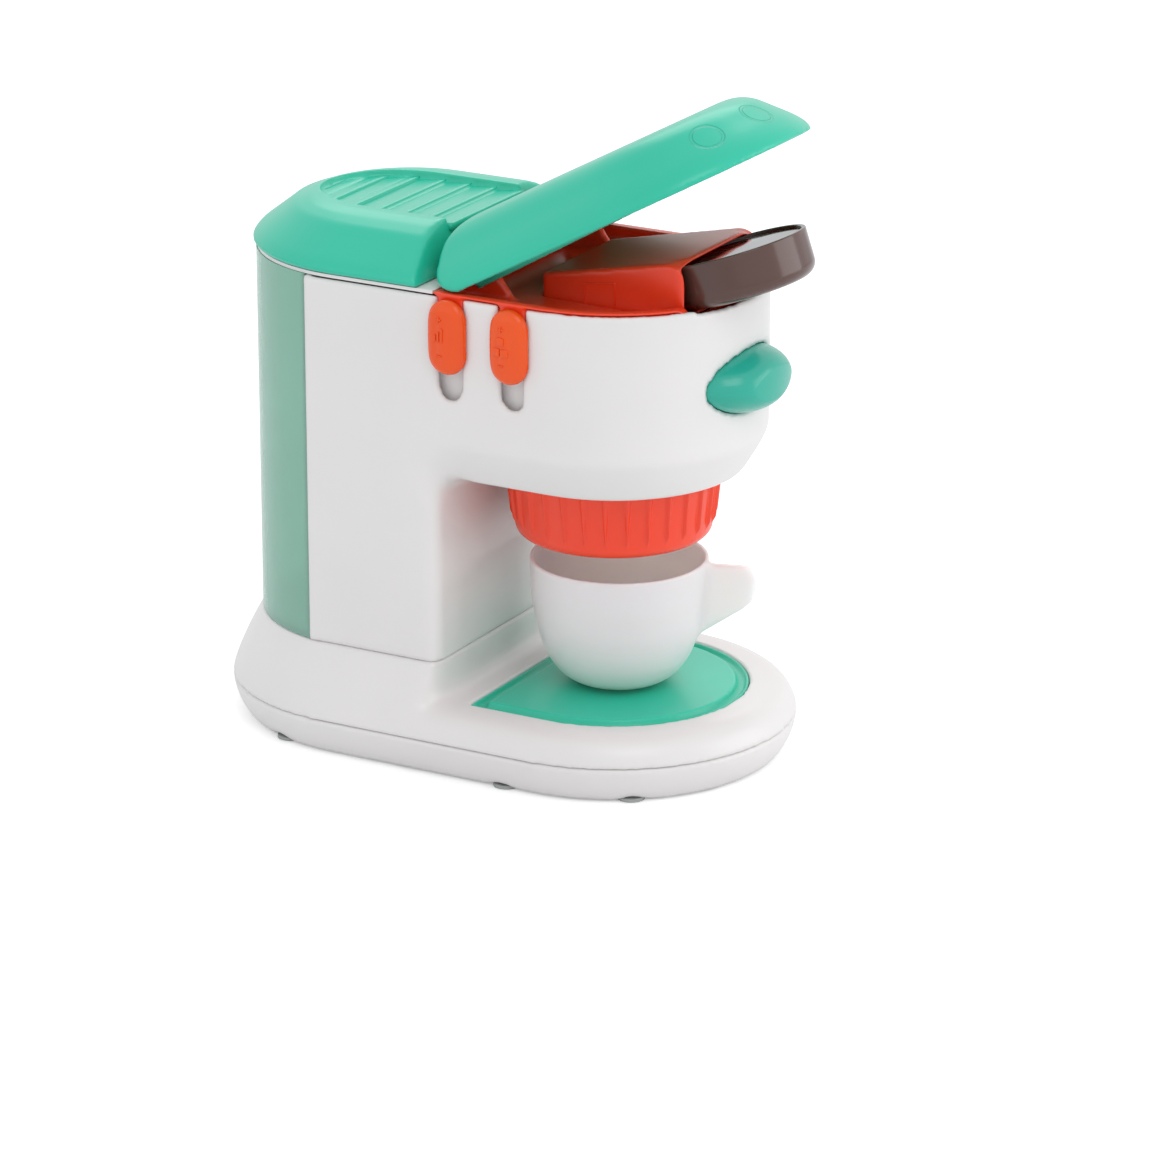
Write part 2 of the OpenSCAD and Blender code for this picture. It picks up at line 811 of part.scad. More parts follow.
// frame of the pod when it is out: -Y points outwards along the chute
module on_chute() {
    translate([0, pod_y, pod_z]) rotate([-chute_tilt, 0, 0]) children();
}

module pod() {
    rim_w = 1.6;
    outline = concat(
        [[0, 0], [pod_r - pod_round, 0]],
        [for (a = [15 : 15 : 75])
            [pod_r - pod_round * (1 - sin(a)), pod_round * (1 - cos(a))]],
        [[pod_r, pod_round], [pod_r, pod_h], [pod_r - rim_w, pod_h],
         [pod_r - rim_w, pod_h - 2 * pod_lid_t], [0, pod_h - 2 * pod_lid_t]]
    );
    color(BROWN) on_chute() rotate_extrude() polygon(outline);
}

module pod_lid() {
    color(BROWN) on_chute() translate([0, 0, pod_h - 2 * pod_lid_t])
        cylinder(r = pod_r - 1.6 - snug, h = pod_lid_t);
}

// block behind the pod, hollowed to the pod's curve
module pod_pusher() {
    y0 = sqrt(pow(pod_r + 0.3, 2) - pow(pusher_half, 2));
    color(ORANGE) on_chute() difference() {
        translate([-pusher_half, y0, 0.1]) cube([2 * pusher_half, pod_r + 0.3 + pusher_t - y0, pusher_h]);
        translate([0, 0, -1]) cylinder(r = pod_r + 0.3, h = pod_h + 2);
    }
}

// ---------------------------------------------------------------- lever

// half outline of the closed lever: upright foot, sloping flank, flat top
lever_side = [
    [lever_r, 0],
    [lever_r - 0.5, lever_h * 0.16],
    [lever_r - 4.3, lever_h * 0.385],
    [lever_r - 9, lever_h * 0.605],
    [lever_r - 13.4, lever_h * 0.83],
    [lever_top_r + 3, lever_h * 0.955],
    [lever_top_r - 2, lever_h]
];
nose_y = lever_rear_y - lever_reach;

// turns of the grip marks about the nose
finger_turns = [-32, 0, 32];

// rear contour of the closed lever as [distance from its rear end, height]
rear_contour = [
    [8.2, 0], [5.2, 0.07], [1.8, 0.17], [0.2, 0.33], [0, 0.45], [1.4, 0.64], [3.6, 0.83], [7.5, 0.95], [12, 1]
];

// turns the closed lever about its pin to where it stands open
module opened() {
    translate([0, pivot_y, pivot_z]) rotate([-lever_open, 0, 0])
        translate([0, -pivot_y, -pivot_z]) children();
}

// closed lever's form, shrunk by t across and by t at its top and rear; drop lengthens its foot
module lever_form(t, drop) {
    side = concat(
        [[lever_r - 1.35 * t, -drop]],
        [for (i = [1 : len(lever_side) - 1]) [lever_side[i][0] - 1.35 * t, lever_side[i][1] - t]]
    );
    translate([0, 0, lid_z]) intersection() {
        front_loaf(side, nose_y, lever_rear_y);
        translate([-2 * lever_r, 0, 0]) rotate([90, 0, 90]) linear_extrude(4 * lever_r) polygon(concat(
            [[nose_y - 2 * lever_r, -drop - 1], [lever_rear_y - t - rear_contour[0][0], -drop - 1]],
            [for (q = rear_contour) [lever_rear_y - t - q[0], q[1] * lever_h - t * q[1]]],
            [[nose_y - 2 * lever_r, lever_h + 1]]
        ));
    }
}

module lever() {
    color(TEAL) opened() difference() {
        union() {
            difference() {
                lever_form(0, 0);
                lever_form(lever_wall, 1);
            }
            intersection() {
                lever_ribs();
                lever_form(0, rib_drop);
            }
        }
        translate([0, pivot_y, pivot_z]) x_rod(pin_r + pin_gap, 2 * pin_half + 1);
        for (s = [-1, 1]) translate([s * (pin_half - 1.2), pivot_y, pivot_z]) x_rod(clip_r + 0.4, clip_t + 0.8);
        for (s = [-1, 1]) ear_notch(s);
        for (a = finger_turns) finger_ring(a);
    }
}

// two long ribs that carry the pin and lie inside the deck's flange when closed
module lever_ribs() {
    rib_t = 2.2;
    y1 = lever_rear_y - rib_len;
    y2 = pivot_y + ear_r + 2;
    for (s = [-1, 1]) translate([s * rib_x - rib_t / 2, 0, 0]) rotate([90, 0, 90]) linear_extrude(rib_t)
        polygon([
            [y1, lid_z - 0.2], [y2, lid_z - rib_drop],
            [y2, lid_z + lever_h - lever_wall / 2], [y1, lid_z + lever_h - lever_wall / 2]
        ]);
}

// room for a deck ear to pass through the lever's rear wall
module ear_notch(s) {
    w = ear_t + 1;
    translate([s * ear_x, pivot_y, pivot_z]) x_rod(ear_r + 1.4, w);
    translate([s * ear_x - w / 2, pivot_y - ear_r - 1.4, lid_z - rib_drop - 1])
        cube([w, pivot_back + ear_r + 4, pivot_up + rib_drop + 1]);
}

// shallow round grip mark on the sloping nose
module finger_ring(turn) {
    ring_r = 6;
    place_r = (lever_side[2][0] + lever_side[4][0]) / 2;
    translate([place_r * sin(turn), nose_y - place_r * cos(turn), lid_z + lever_side[3][1]])
        rotate([0, 0, turn]) rotate([44, 0, 0]) difference() {
            translate([0, 0, -0.6]) cylinder(r = ring_r, h = 5, $fn = 48);
            translate([0, 0, -1]) cylinder(r = ring_r - 0.9, h = 6, $fn = 48);
        }
}

pin_half = rib_x + 3.2;
clip_r = pin_r + 1.4;
clip_t = 0.7;

module lever_pin() {
    color(STEEL) translate([0, pivot_y, pivot_z]) difference() {
        x_rod(pin_r, 2 * pin_half);
        for (s = [-1, 1]) translate([s * (pin_half - 1.2), 0, 0]) difference() {
            x_rod(pin_r + 1, 0.8);
            x_rod(pin_r - 0.5, 1);
        }
    }
}

module pin_clips() {
    color(STEEL) for (s = [-1, 1]) translate([s * (pin_half - 1.2), pivot_y, pivot_z]) difference() {
        x_rod(clip_r, clip_t);
        x_rod(pin_r - 0.48, 1);
        translate([0, 0, -pin_r - 1]) cube([2, 1.6, 3], center = true);
    }
}

// ---------------------------------------------------------------- sliders

knob_z = rim_z - knob_gap - knob_h / 2;
knob_face = 0.35;
carriage_gap = 0.3;
carriage_t = 1.6;
carriage_w = slot_w + 5;
stem_low = 8.5;
stem_high = 6;

// a domed pill knob, the stem through the slot, and the carriage behind the wall
module slider(y) {
    x_knob = -body_r - knob_face;
    translate([0, y, knob_z]) {
        translate([x_knob, 0, 0]) rotate([90, 0, -90]) {
            linear_extrude(knob_t - 1.6) pill(knob_w, knob_h);
            translate([0, 0, knob_t - 1.6 - bite]) linear_extrude(0.7) pill(knob_w - 1, knob_h - 1);
            translate([0, 0, knob_t - 0.9 - bite]) linear_extrude(0.6) pill(knob_w - 2.8, knob_h - 2.8);
            translate([0, 0, knob_t - 0.3 - bite]) linear_extrude(0.3) pill(knob_w - 6, knob_h - 6);
        }
        translate([x_knob - bite, -slot_w / 2 + 0.25, -stem_low])
            cube([body_wall + knob_face + carriage_gap + 2 * bite, slot_w - 0.5, stem_low + stem_high]);
        translate([x_knob + body_wall + knob_face + carriage_gap, -carriage_w / 2, -stem_low - 2])
            cube([carriage_t, carriage_w, stem_low + stem_high + 3.5]);
    }
}

module strength_slider() {
    color(KNOB) slider(slider_places[0]);
}

module sugar_slider() {
    color(KNOB) slider(slider_places[1]);
}

// plate behind the two carriages, with rails that keep them upright
module slider_guide() {
    rail = 3.4;
    gap = 0.3;
    x0 = -inner_r + carriage_gap + carriage_t + gap;
    z0 = slot_low_z - 4;
    h = rim_z - 10 - z0;
    reach = carriage_w / 2 + gap;
    y_low = slider_places[1] - reach - rail;
    y_high = slider_places[0] + reach + rail;
    y_mid = slider_places[1] + reach;
    color(WHITE) {
        translate([x0, y_low, z0]) cube([1.8, y_high - y_low, h]);
        for (q = [[y_low, rail], [y_mid, slider_pitch - 2 * reach], [y_high - rail, rail]])
            translate([-inner_r + 0.1, q[0], z0]) cube([x0 + inner_r, q[1], h]);
    }
}

// ---------------------------------------------------------------- button

button_gap = 0.35;
button_bend = 1.06;
button_back_y = head_tip_y + 11;
button_inner_y = head_tip_y - 1;
plunger_t = 2;
guide_y = head_tip_y + 18;
guide_t = 2;
guide_tube = 4;
spring_coil_r = stem_r + 2;
stem_end_y = guide_y + guide_t + guide_tube + 2;

// oval outline whose ends are a little pointed
module oval(half, rise) {
    function bend(v) = sign(v) * pow(abs(v), button_bend);
    polygon([for (a = [0 : 7.5 : 352.5]) [half * bend(cos(a)), rise * bend(sin(a))]]);
}

// the button's outline as a prism from y_front forwards of the head's axis to y_back behind its tip
module button_prism(grow, y_front, y_back) {
    translate([0, head_tip_y + y_back, button_z]) rotate([90, 0, 0])
        linear_extrude(y_back + y_front - body_r) oval(button_half + grow, button_rise + grow);
}

// pillow-shaped cap with a skirt that runs through the head's wall
module front_button() {
    n = 48;
    side_in = 9.3;
    edge_in = 5.4;
    bends = [0, 20, 40, 60, 90];
    function bend(v) = sign(v) * pow(abs(v), button_bend);
    function cap_point(f, a) =
        let (
            x = (button_half - side_in * (1 - cos(f))) * bend(cos(a)),
            z = (button_rise - edge_in * (1 - cos(f))) * bend(sin(a)),
            r = body_r + button_out * sin(f)
        )
        [x, front_y - sqrt(r * r - x * x), button_z + z];
    back_ring = [for (i = [0 : n - 1]) let (q = cap_point(0, 360 * i / n)) [q[0], button_back_y, q[2]]];
    cap_rings = [for (f = bends, i = [0 : n - 1]) cap_point(f, 360 * i / n)];
    rings = len(bends) + 1;
    crown = [0, head_tip_y - button_out - 0.4, button_z];
    color(TEAL) difference() {
        polyhedron(
            points = concat(back_ring, cap_rings, [crown]),
            faces = concat(
                [[for (i = [0 : n - 1]) i]],
                [for (k = [0 : rings - 2], i = [0 : n - 1])
                    [k * n + i, (k + 1) * n + i, (k + 1) * n + (i + 1) % n]],
                [for (k = [0 : rings - 2], i = [0 : n - 1])
                    [k * n + i, (k + 1) * n + (i + 1) % n, k * n + (i + 1) % n]],
                [for (i = [0 : n - 1]) [(rings - 1) * n + i, rings * n, (rings - 1) * n + (i + 1) % n]]
            )
        );
        translate([0, button_back_y + 1, button_z]) rotate([90, 0, 0])
            linear_extrude(button_back_y + 1 - button_inner_y) oval(button_half - 2.4, button_rise - 2);
    }
}

// flanged stem fixed in the cap
module button_plunger() {
    color(WHITE) translate([0, button_inner_y, button_z]) rotate([-90, 0, 0]) {
        translate([0, 0, bite]) cylinder(r = stem_r + 3.5, h = plunger_t);
        cylinder(r = stem_r, h = stem_end_y - button_inner_y);
    }
}

// cross plate bonded between the head's inner walls, with the tube that the stem runs in
module button_guide() {
    half = 38;
    rise = 9;
    color(WHITE) intersection() {
        difference() {
            union() {
                translate([-half, guide_y, button_z - rise]) cube([2 * half, guide_t, 2 * rise]);
                translate([0, guide_y, button_z]) rotate([-90, 0, 0])
                    cylinder(r = stem_r + 2.5, h = guide_t + guide_tube);
            }
            translate([0, guide_y - 1, button_z]) rotate([-90, 0, 0])
                cylinder(r = stem_r + pin_gap, h = guide_t + guide_tube + 2);
        }
        translate([0, front_y, 0]) cylinder(r = inner_r - bite, h = rim_z);
    }
}

// coil spring between the plunger's flange and the guide
module button_spring() {
    wire = 0.45;
    turns = 5;
    steps = 20;
    sides = 6;
    y0 = button_inner_y + plunger_t + wire + 0.15;
    rings = turns * steps;
    run = guide_y - y0 - wire - 0.15;
    function ring_point(i, k) =
        let (a = 360 * i / steps, b = 360 * k / sides, r = spring_coil_r + wire * cos(b))
        [r * cos(a), r * sin(a), run * i / rings + wire * sin(b)];
    color(STEEL) translate([0, y0, button_z]) rotate([-90, 0, 0]) polyhedron(
        points = [for (i = [0 : rings], k = [0 : sides - 1]) ring_point(i, k)],
        faces = concat(
            [[for (k = [0 : sides - 1]) k]],
            [for (i = [0 : rings - 1], k = [0 : sides - 1]) [
                i * sides + k, (i + 1) * sides + k,
                (i + 1) * sides + (k + 1) % sides, i * sides + (k + 1) % sides
            ]],
            [[for (k = [sides - 1 : -1 : 0]) rings * sides + k]]
        )
    );
}

// snap washer on the stem behind the guide's tube
module button_clip() {
    color(STEEL) translate([0, guide_y + guide_t + guide_tube + 0.1, button_z]) rotate([-90, 0, 0])
        difference() {
            cylinder(r = stem_r + 2.4, h = 1);
            translate([0, 0, -1]) cylinder(r = stem_r + bite, h = 3);
        }
}

// ---------------------------------------------------------------- collar and nozzle

collar_top_z = head_floor_z - 0.3;
collar_low_z = collar_top_z - collar_h;
hub_r = nozzle_r + 0.1;

module nozzle_screw_places() {
    for (a = [30, 150, 270]) translate([0, front_y, 0]) rotate([0, 0, a]) translate([nozzle_r + 8, 0, 0]) children();
}

module brew_collar() {
    wall = 2.4;
    floor_t = 2.4;
    round_r = 4;
    outer = concat(
        [[hub_r, 0], [collar_low_r - round_r, 0]],
        [for (a = [18 : 18 : 72])
            [collar_low_r - round_r * (1 - sin(a)), round_r * (1 - cos(a))]],
        [[collar_low_r, round_r], [collar_top_r, collar_h]]
    );
    inner = [
        [collar_top_r - wall, collar_h], [collar_low_r - wall, floor_t + 3],
        [collar_low_r - wall - 3, floor_t], [hub_r + 3, floor_t], [hub_r + 3, collar_h - 0.2],
        [hub_r, collar_h - 0.2]
    ];
    color(ORANGE) translate([0, front_y, collar_low_z]) {
        rotate_extrude() polygon(concat(outer, inner));
        for (i = [0 : 1 : rib_count - 1]) rotate([0, 0, 360 * i / rib_count]) collar_rib();
    }
}

// one upright grip rib on the collar's side
module collar_rib() {
    proud = 0.9;
    low = 5;
    high = collar_h - 0.5;
    lean = (collar_top_r - collar_low_r) / (collar_h - 4);
    rotate([90, 0, 0]) translate([0, 0, -0.9]) linear_extrude(1.8) polygon([
        [collar_low_r - 1.5, low],
        [collar_low_r + lean * (low - 4) - 0.3, low],
        [collar_low_r + lean * (low - 2) + proud, low + 2],
        [collar_low_r + lean * (high - 4) + proud, high],
        [collar_low_r + lean * (high - 4) - 1.5, high]
    ]);
}

// spout that the collar turns on, held by a flange inside the head
module outlet_nozzle() {
    flange_r = nozzle_r + 12;
    lip = 2.2;
    color(ORANGE) translate([0, front_y, 0]) difference() {
        union() {
            translate([0, 0, head_floor_z + body_wall]) cylinder(r = flange_r, h = 2);
            translate([0, 0, collar_low_z - 1.4]) cylinder(r = nozzle_r, h = collar_h + body_wall + 3);
            translate([0, 0, collar_low_z - 2.4]) cylinder(r = nozzle_r + lip, h = 2.1);
        }
        translate([0, 0, collar_low_z - 4]) cylinder(r = nozzle_r - 2.4, h = 3 * collar_h);
        for (a = [30, 150, 270]) rotate([0, 0, a]) translate([nozzle_r + 8, 0, head_floor_z])
            cylinder(r = screw_r + 0.2, h = 10);
    }
}

module nozzle_screws() {
    color(STEEL) nozzle_screw_places() translate([0, 0, head_floor_z + body_wall + 2 + bite])
        rotate([180, 0, 0]) screw(4);
}

// ---------------------------------------------------------------- cup

cup_z = shelf_z + stand_rise;
foot_h = 0.8;
// outer half outline of the bowl, as shares of its rim radius and height
bowl = [
    [0.449, 0], [0.522, 0.015], [0.632, 0.058], [0.716, 0.122], [0.801, 0.208], [0.872, 0.326],
    [0.937, 0.498], [0.981, 0.712], [1, 1]
];

module cup() {
    bowl_h = cup_h - foot_h;
    outer = [for (q = bowl) [q[0] * cup_r, foot_h + q[1] * bowl_h]];
    hollow = [for (i = [len(bowl) - 1 : -1 : 0])
        [bowl[i][0] * cup_r - cup_wall, foot_h + bowl[i][1] * bowl_h + cup_wall * (1 - bowl[i][1])]];
    color(WHITE) translate([0, front_y - cup_forward, cup_z]) {
        rotate_extrude() polygon(concat(
            [[0, foot_h], [cup_foot_r - 2, foot_h], [cup_foot_r - 1.6, 0], [cup_foot_r, 0], [cup_foot_r, foot_h]],
            outer,
            hollow,
            [[0, foot_h + cup_wall]]
        ));
        rotate([0, 0, handle_turn]) cup_handle(bowl_h);
    }
}

// flat tab handle with rounded outer corners and a sloping underside
module cup_handle(bowl_h) {
    t = 4.2;
    top = cup_h - 1.5;
    tip = cup_r + handle_len;
    r = 5;
    rotate([90, 0, 0]) translate([0, 0, -t / 2]) linear_extrude(t) {
        polygon([
            [cup_r - 1, top], [tip - r, top], [tip, top - r], [tip - 1.2, top - 13],
            [tip - 5, top - 16.5], [cup_r - 1.4, top - 26], [cup_r - 3.9, top - 27.7], [cup_r - 1.6, top - 13]
        ]);
        translate([tip - r, top - r]) circle(r);
    }
}

base_lower();
base_upper();
foot_pads();
base_screws();
drip_tray();
body_shell();
body_screws();
water_tank();
rear_cover();
cover_screws();
top_plate();
top_deck();
deck_screws();
pod_slot();
lever();
lever_pin();
pin_clips();
pod_pusher();
pod();
pod_lid();
strength_slider();
sugar_slider();
slider_guide();
front_button();
button_plunger();
button_guide();
button_spring();
button_clip();
brew_collar();
outlet_nozzle();
nozzle_screws();
cup();
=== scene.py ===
"""Looks of a toy coffee maker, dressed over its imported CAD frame.

Every length is written in millimetres and turned to metres when a mesh is made. The frame's origin is
the centre of the base's underside, the front faces -Y and the two sliders are on the -X flank.
"""

import json
import logging
import math
from dataclasses import dataclass, field
from enum import Enum
from typing import Any, Callable, Optional, Sequence

import bmesh
import bpy
import numpy as np
from mathutils import Matrix, Vector

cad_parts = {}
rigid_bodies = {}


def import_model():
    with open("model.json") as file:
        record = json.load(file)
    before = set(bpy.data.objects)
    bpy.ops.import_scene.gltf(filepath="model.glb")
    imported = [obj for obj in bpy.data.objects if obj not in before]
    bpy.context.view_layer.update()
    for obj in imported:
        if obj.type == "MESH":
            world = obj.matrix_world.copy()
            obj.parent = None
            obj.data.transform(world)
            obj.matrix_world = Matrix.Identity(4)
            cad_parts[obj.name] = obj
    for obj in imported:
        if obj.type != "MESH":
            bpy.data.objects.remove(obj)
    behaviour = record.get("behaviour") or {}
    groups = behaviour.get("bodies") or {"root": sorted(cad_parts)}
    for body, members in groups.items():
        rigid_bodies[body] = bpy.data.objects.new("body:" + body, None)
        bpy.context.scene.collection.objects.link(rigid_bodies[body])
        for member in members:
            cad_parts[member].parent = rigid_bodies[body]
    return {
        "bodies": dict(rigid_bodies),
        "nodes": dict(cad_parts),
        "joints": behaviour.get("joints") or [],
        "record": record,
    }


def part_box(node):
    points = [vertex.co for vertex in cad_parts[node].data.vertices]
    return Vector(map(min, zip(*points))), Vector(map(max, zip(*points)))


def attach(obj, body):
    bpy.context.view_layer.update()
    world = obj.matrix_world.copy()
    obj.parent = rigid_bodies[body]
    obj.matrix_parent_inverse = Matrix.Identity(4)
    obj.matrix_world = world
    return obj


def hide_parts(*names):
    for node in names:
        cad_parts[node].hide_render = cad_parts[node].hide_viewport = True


LOG = logging.getLogger("toy_coffee_maker")
MM = 0.001
IMAGE_PX = 1158
LEVER_OPEN = 28.5  # degrees that the lever is turned up from closed
PIN_Y = -6.8
PIN_Z = 186.75
FRONT_AXIS_Y = -42.0  # upright axis of the head's, the base's and the collar's round fronts
REAR_AXIS_Y = 42.0  # upright axis of the round rear
Array = np.ndarray


# ------------------------------------------------------------------ colours and nodes


def linear(hex_code: str, alpha: float = 1.0) -> tuple[float, float, float, float]:
    """Turns an sRGB hex colour to linear light.

    Args:
        hex_code: six hex digits, with or without a leading hash.
        alpha: the alpha that goes with it.

    Returns:
        Red, green, blue and alpha, as a shader socket takes them.
    """
    digits = hex_code.lstrip("#")
    srgb = [int(digits[i : i + 2], 16) / 255 for i in (0, 2, 4)]
    rgb = [c / 12.92 if c <= 0.04045 else ((c + 0.055) / 1.055) ** 2.4 for c in srgb]
    return (rgb[0], rgb[1], rgb[2], alpha)


def add_node(tree: Any, kind: str, links: dict[Any, Any], **settings: Any) -> Any:
    """Adds one node, sets it up and links it.

    Args:
        tree: the node tree.
        kind: the node's type name, without its ShaderNode prefix.
        links: input name or index to a value, or to an output socket that feeds it.
        settings: the node's own properties.

    Returns:
        The new node.
    """
    node = tree.nodes.new("ShaderNode" + kind)
    for name, value in settings.items():
        setattr(node, name, value)
    for key, value in links.items():
        if isinstance(value, bpy.types.NodeSocket):
            tree.links.new(value, node.inputs[key])
        else:
            node.inputs[key].default_value = value
    return node


def blank_material(name: str) -> bpy.types.Material:
    """Makes a node material without nodes.

    Args:
        name: the material's name.

    Returns:
        The material, whose node tree is empty.
    """
    mat = bpy.data.materials.new(name)
    mat.use_nodes = True
    mat.node_tree.nodes.clear()
    return mat


# ------------------------------------------------------------------ finishes


@dataclass(frozen=True)
class MouldedPlastic:
    """A glossy injection-moulded plastic, such as ABS.

    The mould leaves a faint orange peel a few millimetres across and a finer grain that spreads each
    highlight, and the pigment lies a little thinner in patches.

    Attributes:
        name: the material's name.
        colour: its colour as six hex digits.
        shade: its colour where the pigment lies thicker.
        roughness: how much its surface spreads a reflection.
        coat: share of the sharper reflection on top.
        ior: its refractive index.
        scatter: share of light that spreads inside it.
        scatter_mm: how far that light goes.
        transmission: share of light that passes through.
        patch_mm: size of the patches.
        peel_mm: size of the orange peel's waves.
        grain_mm: size of the grain, drawn coarser than real grain, which would be too fine to show.
        peel_depth: height of those waves.
        grain_depth: height of the grain.
        marks: centres of the grip rings.
        ring_flat: half width of a ring's floor.
        ring_half: half width of a ring at the surface.
        ring_depth: depth of a ring.
    """

    name: str
    colour: str
    shade: str
    roughness: float = 0.3
    coat: float = 0.15
    ior: float = 1.53
    scatter: float = 0.0
    scatter_mm: float = 1.5
    transmission: float = 0.0
    patch_mm: float = 60.0
    peel_mm: float = 9.0
    grain_mm: float = 2.4
    peel_depth: float = 0.12
    grain_depth: float = 0.04
    marks: tuple[tuple[float, float, float], ...] = ()
    ring_flat: float = 0.25
    ring_half: float = 0.8
    ring_depth: float = 0.45

    def ring_marks(self, tree: Any, where: Any) -> Any:
        """Works out the shallow grip rings, each where the surface cuts a small sphere round its mark.

        Args:
            tree: the material's node tree.
            where: the object coordinates' socket.

        Returns:
            A socket that is 1 on a ring's line and 0 away from it.
        """
        total = None
        for mark in self.marks:
            centre = tuple(c * MM for c in mark)
            away = add_node(tree, "VectorMath", {0: where, 1: centre}, operation="DISTANCE")
            off = add_node(tree, "Math", {0: away.outputs["Value"], 1: GRIP_RING * MM}, operation="SUBTRACT")
            near = add_node(tree, "Math", {0: off.outputs[0]}, operation="ABSOLUTE")
            line = add_node(
                tree,
                "MapRange",
                {
                    "Value": near.outputs[0],
                    "From Min": self.ring_flat * MM,
                    "From Max": self.ring_half * MM,
                    "To Min": 1.0,
                    "To Max": 0.0,
                },
                interpolation_type="SMOOTHSTEP",
            ).outputs[0]
            if total is not None:
                line = add_node(tree, "Math", {0: total, 1: line}, operation="MAXIMUM").outputs[0]
            total = line
        return total

    def noise(self, tree: Any, where: Any, size_mm: float, detail: float) -> Any:
        """Adds a noise whose features are about as large as given.

        Args:
            tree: the material's node tree.
            where: the object coordinates' socket.
            size_mm: size of its features in millimetres.
            detail: how many finer layers it has.

        Returns:
            The socket of its value.
        """
        links = {"Vector": where, "Scale": 1 / (size_mm * MM), "Detail": detail}
        return add_node(tree, "TexNoise", links).outputs["Fac"]

    def build(self) -> bpy.types.Material:
        """Makes the material.

        Returns:
            A material that reads Object coordinates in metres.
        """
        mat = blank_material(self.name)
        tree = mat.node_tree
        where = add_node(tree, "TexCoord", {}).outputs["Object"]
        patches = self.noise(tree, where, self.patch_mm, 2.0)
        tint = add_node(tree, "ValToRGB", {"Fac": patches})
        for stop, place, colour in zip(tint.color_ramp.elements, (0.3, 0.7), (self.shade, self.colour)):
            stop.position = place
            stop.color = linear(colour)
        peel = self.noise(tree, where, self.peel_mm, 0.0)
        grain = self.noise(tree, where, self.grain_mm, 1.0)
        waves = {"Height": peel, "Strength": 0.35, "Distance": self.peel_depth * MM}
        normal = add_node(tree, "Bump", waves).outputs[0]
        fine = {"Height": grain, "Strength": 0.15, "Distance": self.grain_depth * MM, "Normal": normal}
        normal = add_node(tree, "Bump", fine).outputs[0]
        if self.marks:
            rings = self.ring_marks(tree, where)
            cut = {"Height": rings, "Strength": 0.9, "Distance": self.ring_depth * MM, "Normal": normal}
            normal = add_node(tree, "Bump", cut, invert=True).outputs[0]
        shader = add_node(
            tree,
            "BsdfPrincipled",
            {
                "Base Color": tint.outputs["Color"],
                "Roughness": self.roughness,
                "IOR": self.ior,
                "Coat Weight": self.coat,
                "Coat Roughness": 0.1,
                "Normal": normal,
                "Transmission Weight": self.transmission,
            },
        )
        if self.scatter > 0:
            shader.inputs["Subsurface Weight"].default_value = self.scatter
            shader.inputs["Subsurface Radius"].default_value = (1.0, 0.9, 0.8)
            shader.inputs["Subsurface Scale"].default_value = self.scatter_mm * MM
        add_node(tree, "OutputMaterial", {"Surface": shader.outputs[0]})
        return mat


@dataclass(frozen=True)
class ZincSteel:
    """Zinc-plated steel of small screws, pins and clips: a grey metal with a drawn grain.

    Attributes:
        name: the material's name.
        colour: its colour as six hex digits.
        roughness: how much its surface spreads a reflection, on average.
        lines: how many lines of grain a metre holds, along the drawing and across it.
        grain_depth: height of the grain.
    """

    name: str = "zinc_plated_steel"
    colour: str = "#B9BCBE"
    roughness: float = 0.32
    lines: tuple[float, float, float] = (200.0, 4000.0, 4000.0)
    grain_depth: float = 0.05

    def build(self) -> bpy.types.Material:
        """Makes the material.

        Returns:
            A metal whose roughness changes along a fine drawn grain.
        """
        mat = blank_material(self.name)
        tree = mat.node_tree
        where = add_node(tree, "TexCoord", {}).outputs["Object"]
        drawn = add_node(tree, "Mapping", {"Vector": where, "Scale": self.lines})
        grain = add_node(tree, "TexNoise", {"Vector": drawn.outputs[0], "Scale": 1.0, "Detail": 3.0})
        gloss = add_node(
            tree,
            "MapRange",
            {"Value": grain.outputs["Fac"], "To Min": self.roughness * 0.7, "To Max": self.roughness * 1.3},
        )
        height = {"Height": grain.outputs["Fac"], "Strength": 0.15, "Distance": self.grain_depth * MM}
        bump = add_node(tree, "Bump", height)
        shader = add_node(
            tree,
            "BsdfPrincipled",
            {
                "Base Color": linear(self.colour),
                "Metallic": 1.0,
                "Roughness": gloss.outputs["Result"],
                "Normal": bump.outputs[0],
            },
        )
        add_node(tree, "OutputMaterial", {"Surface": shader.outputs[0]})
        return mat


# places of the grip marks on the closed lever: turns in degrees, and the arc they lie on in millimetres
GRIP_TURNS = (-32.0, 0.0, 32.0)
GRIP_ARC = 46.3
GRIP_Z = 190.9
GRIP_RING = 5.6
NOSE_AXIS_Y = -65.9


def open_lever_point(x: float, y: float, z: float) -> tuple[float, float, float]:
    """Turns a point of the closed lever about the pin, to where the lever stands open.

    Args:
        x: its place across.
        y: its place along.
        z: its height.

    Returns:
        The same point of the open lever, in millimetres.
    """
    turn = math.radians(LEVER_OPEN)
    back, up = y - PIN_Y, z - PIN_Z
    return (
        x,
        PIN_Y + back * math.cos(turn) + up * math.sin(turn),
        PIN_Z - back * math.sin(turn) + up * math.cos(turn),
    )


def grip_marks() -> tuple[tuple[float, float, float], ...]:
    """Works out the centres of the three grip marks, on an arc about the axis of the lever's nose.

    Returns:
        One point in millimetres for each mark.
    """
    turns = [math.radians(t) for t in GRIP_TURNS]
    return tuple(
        open_lever_point(GRIP_ARC * math.sin(t), NOSE_AXIS_Y - GRIP_ARC * math.cos(t), GRIP_Z) for t in turns
    )


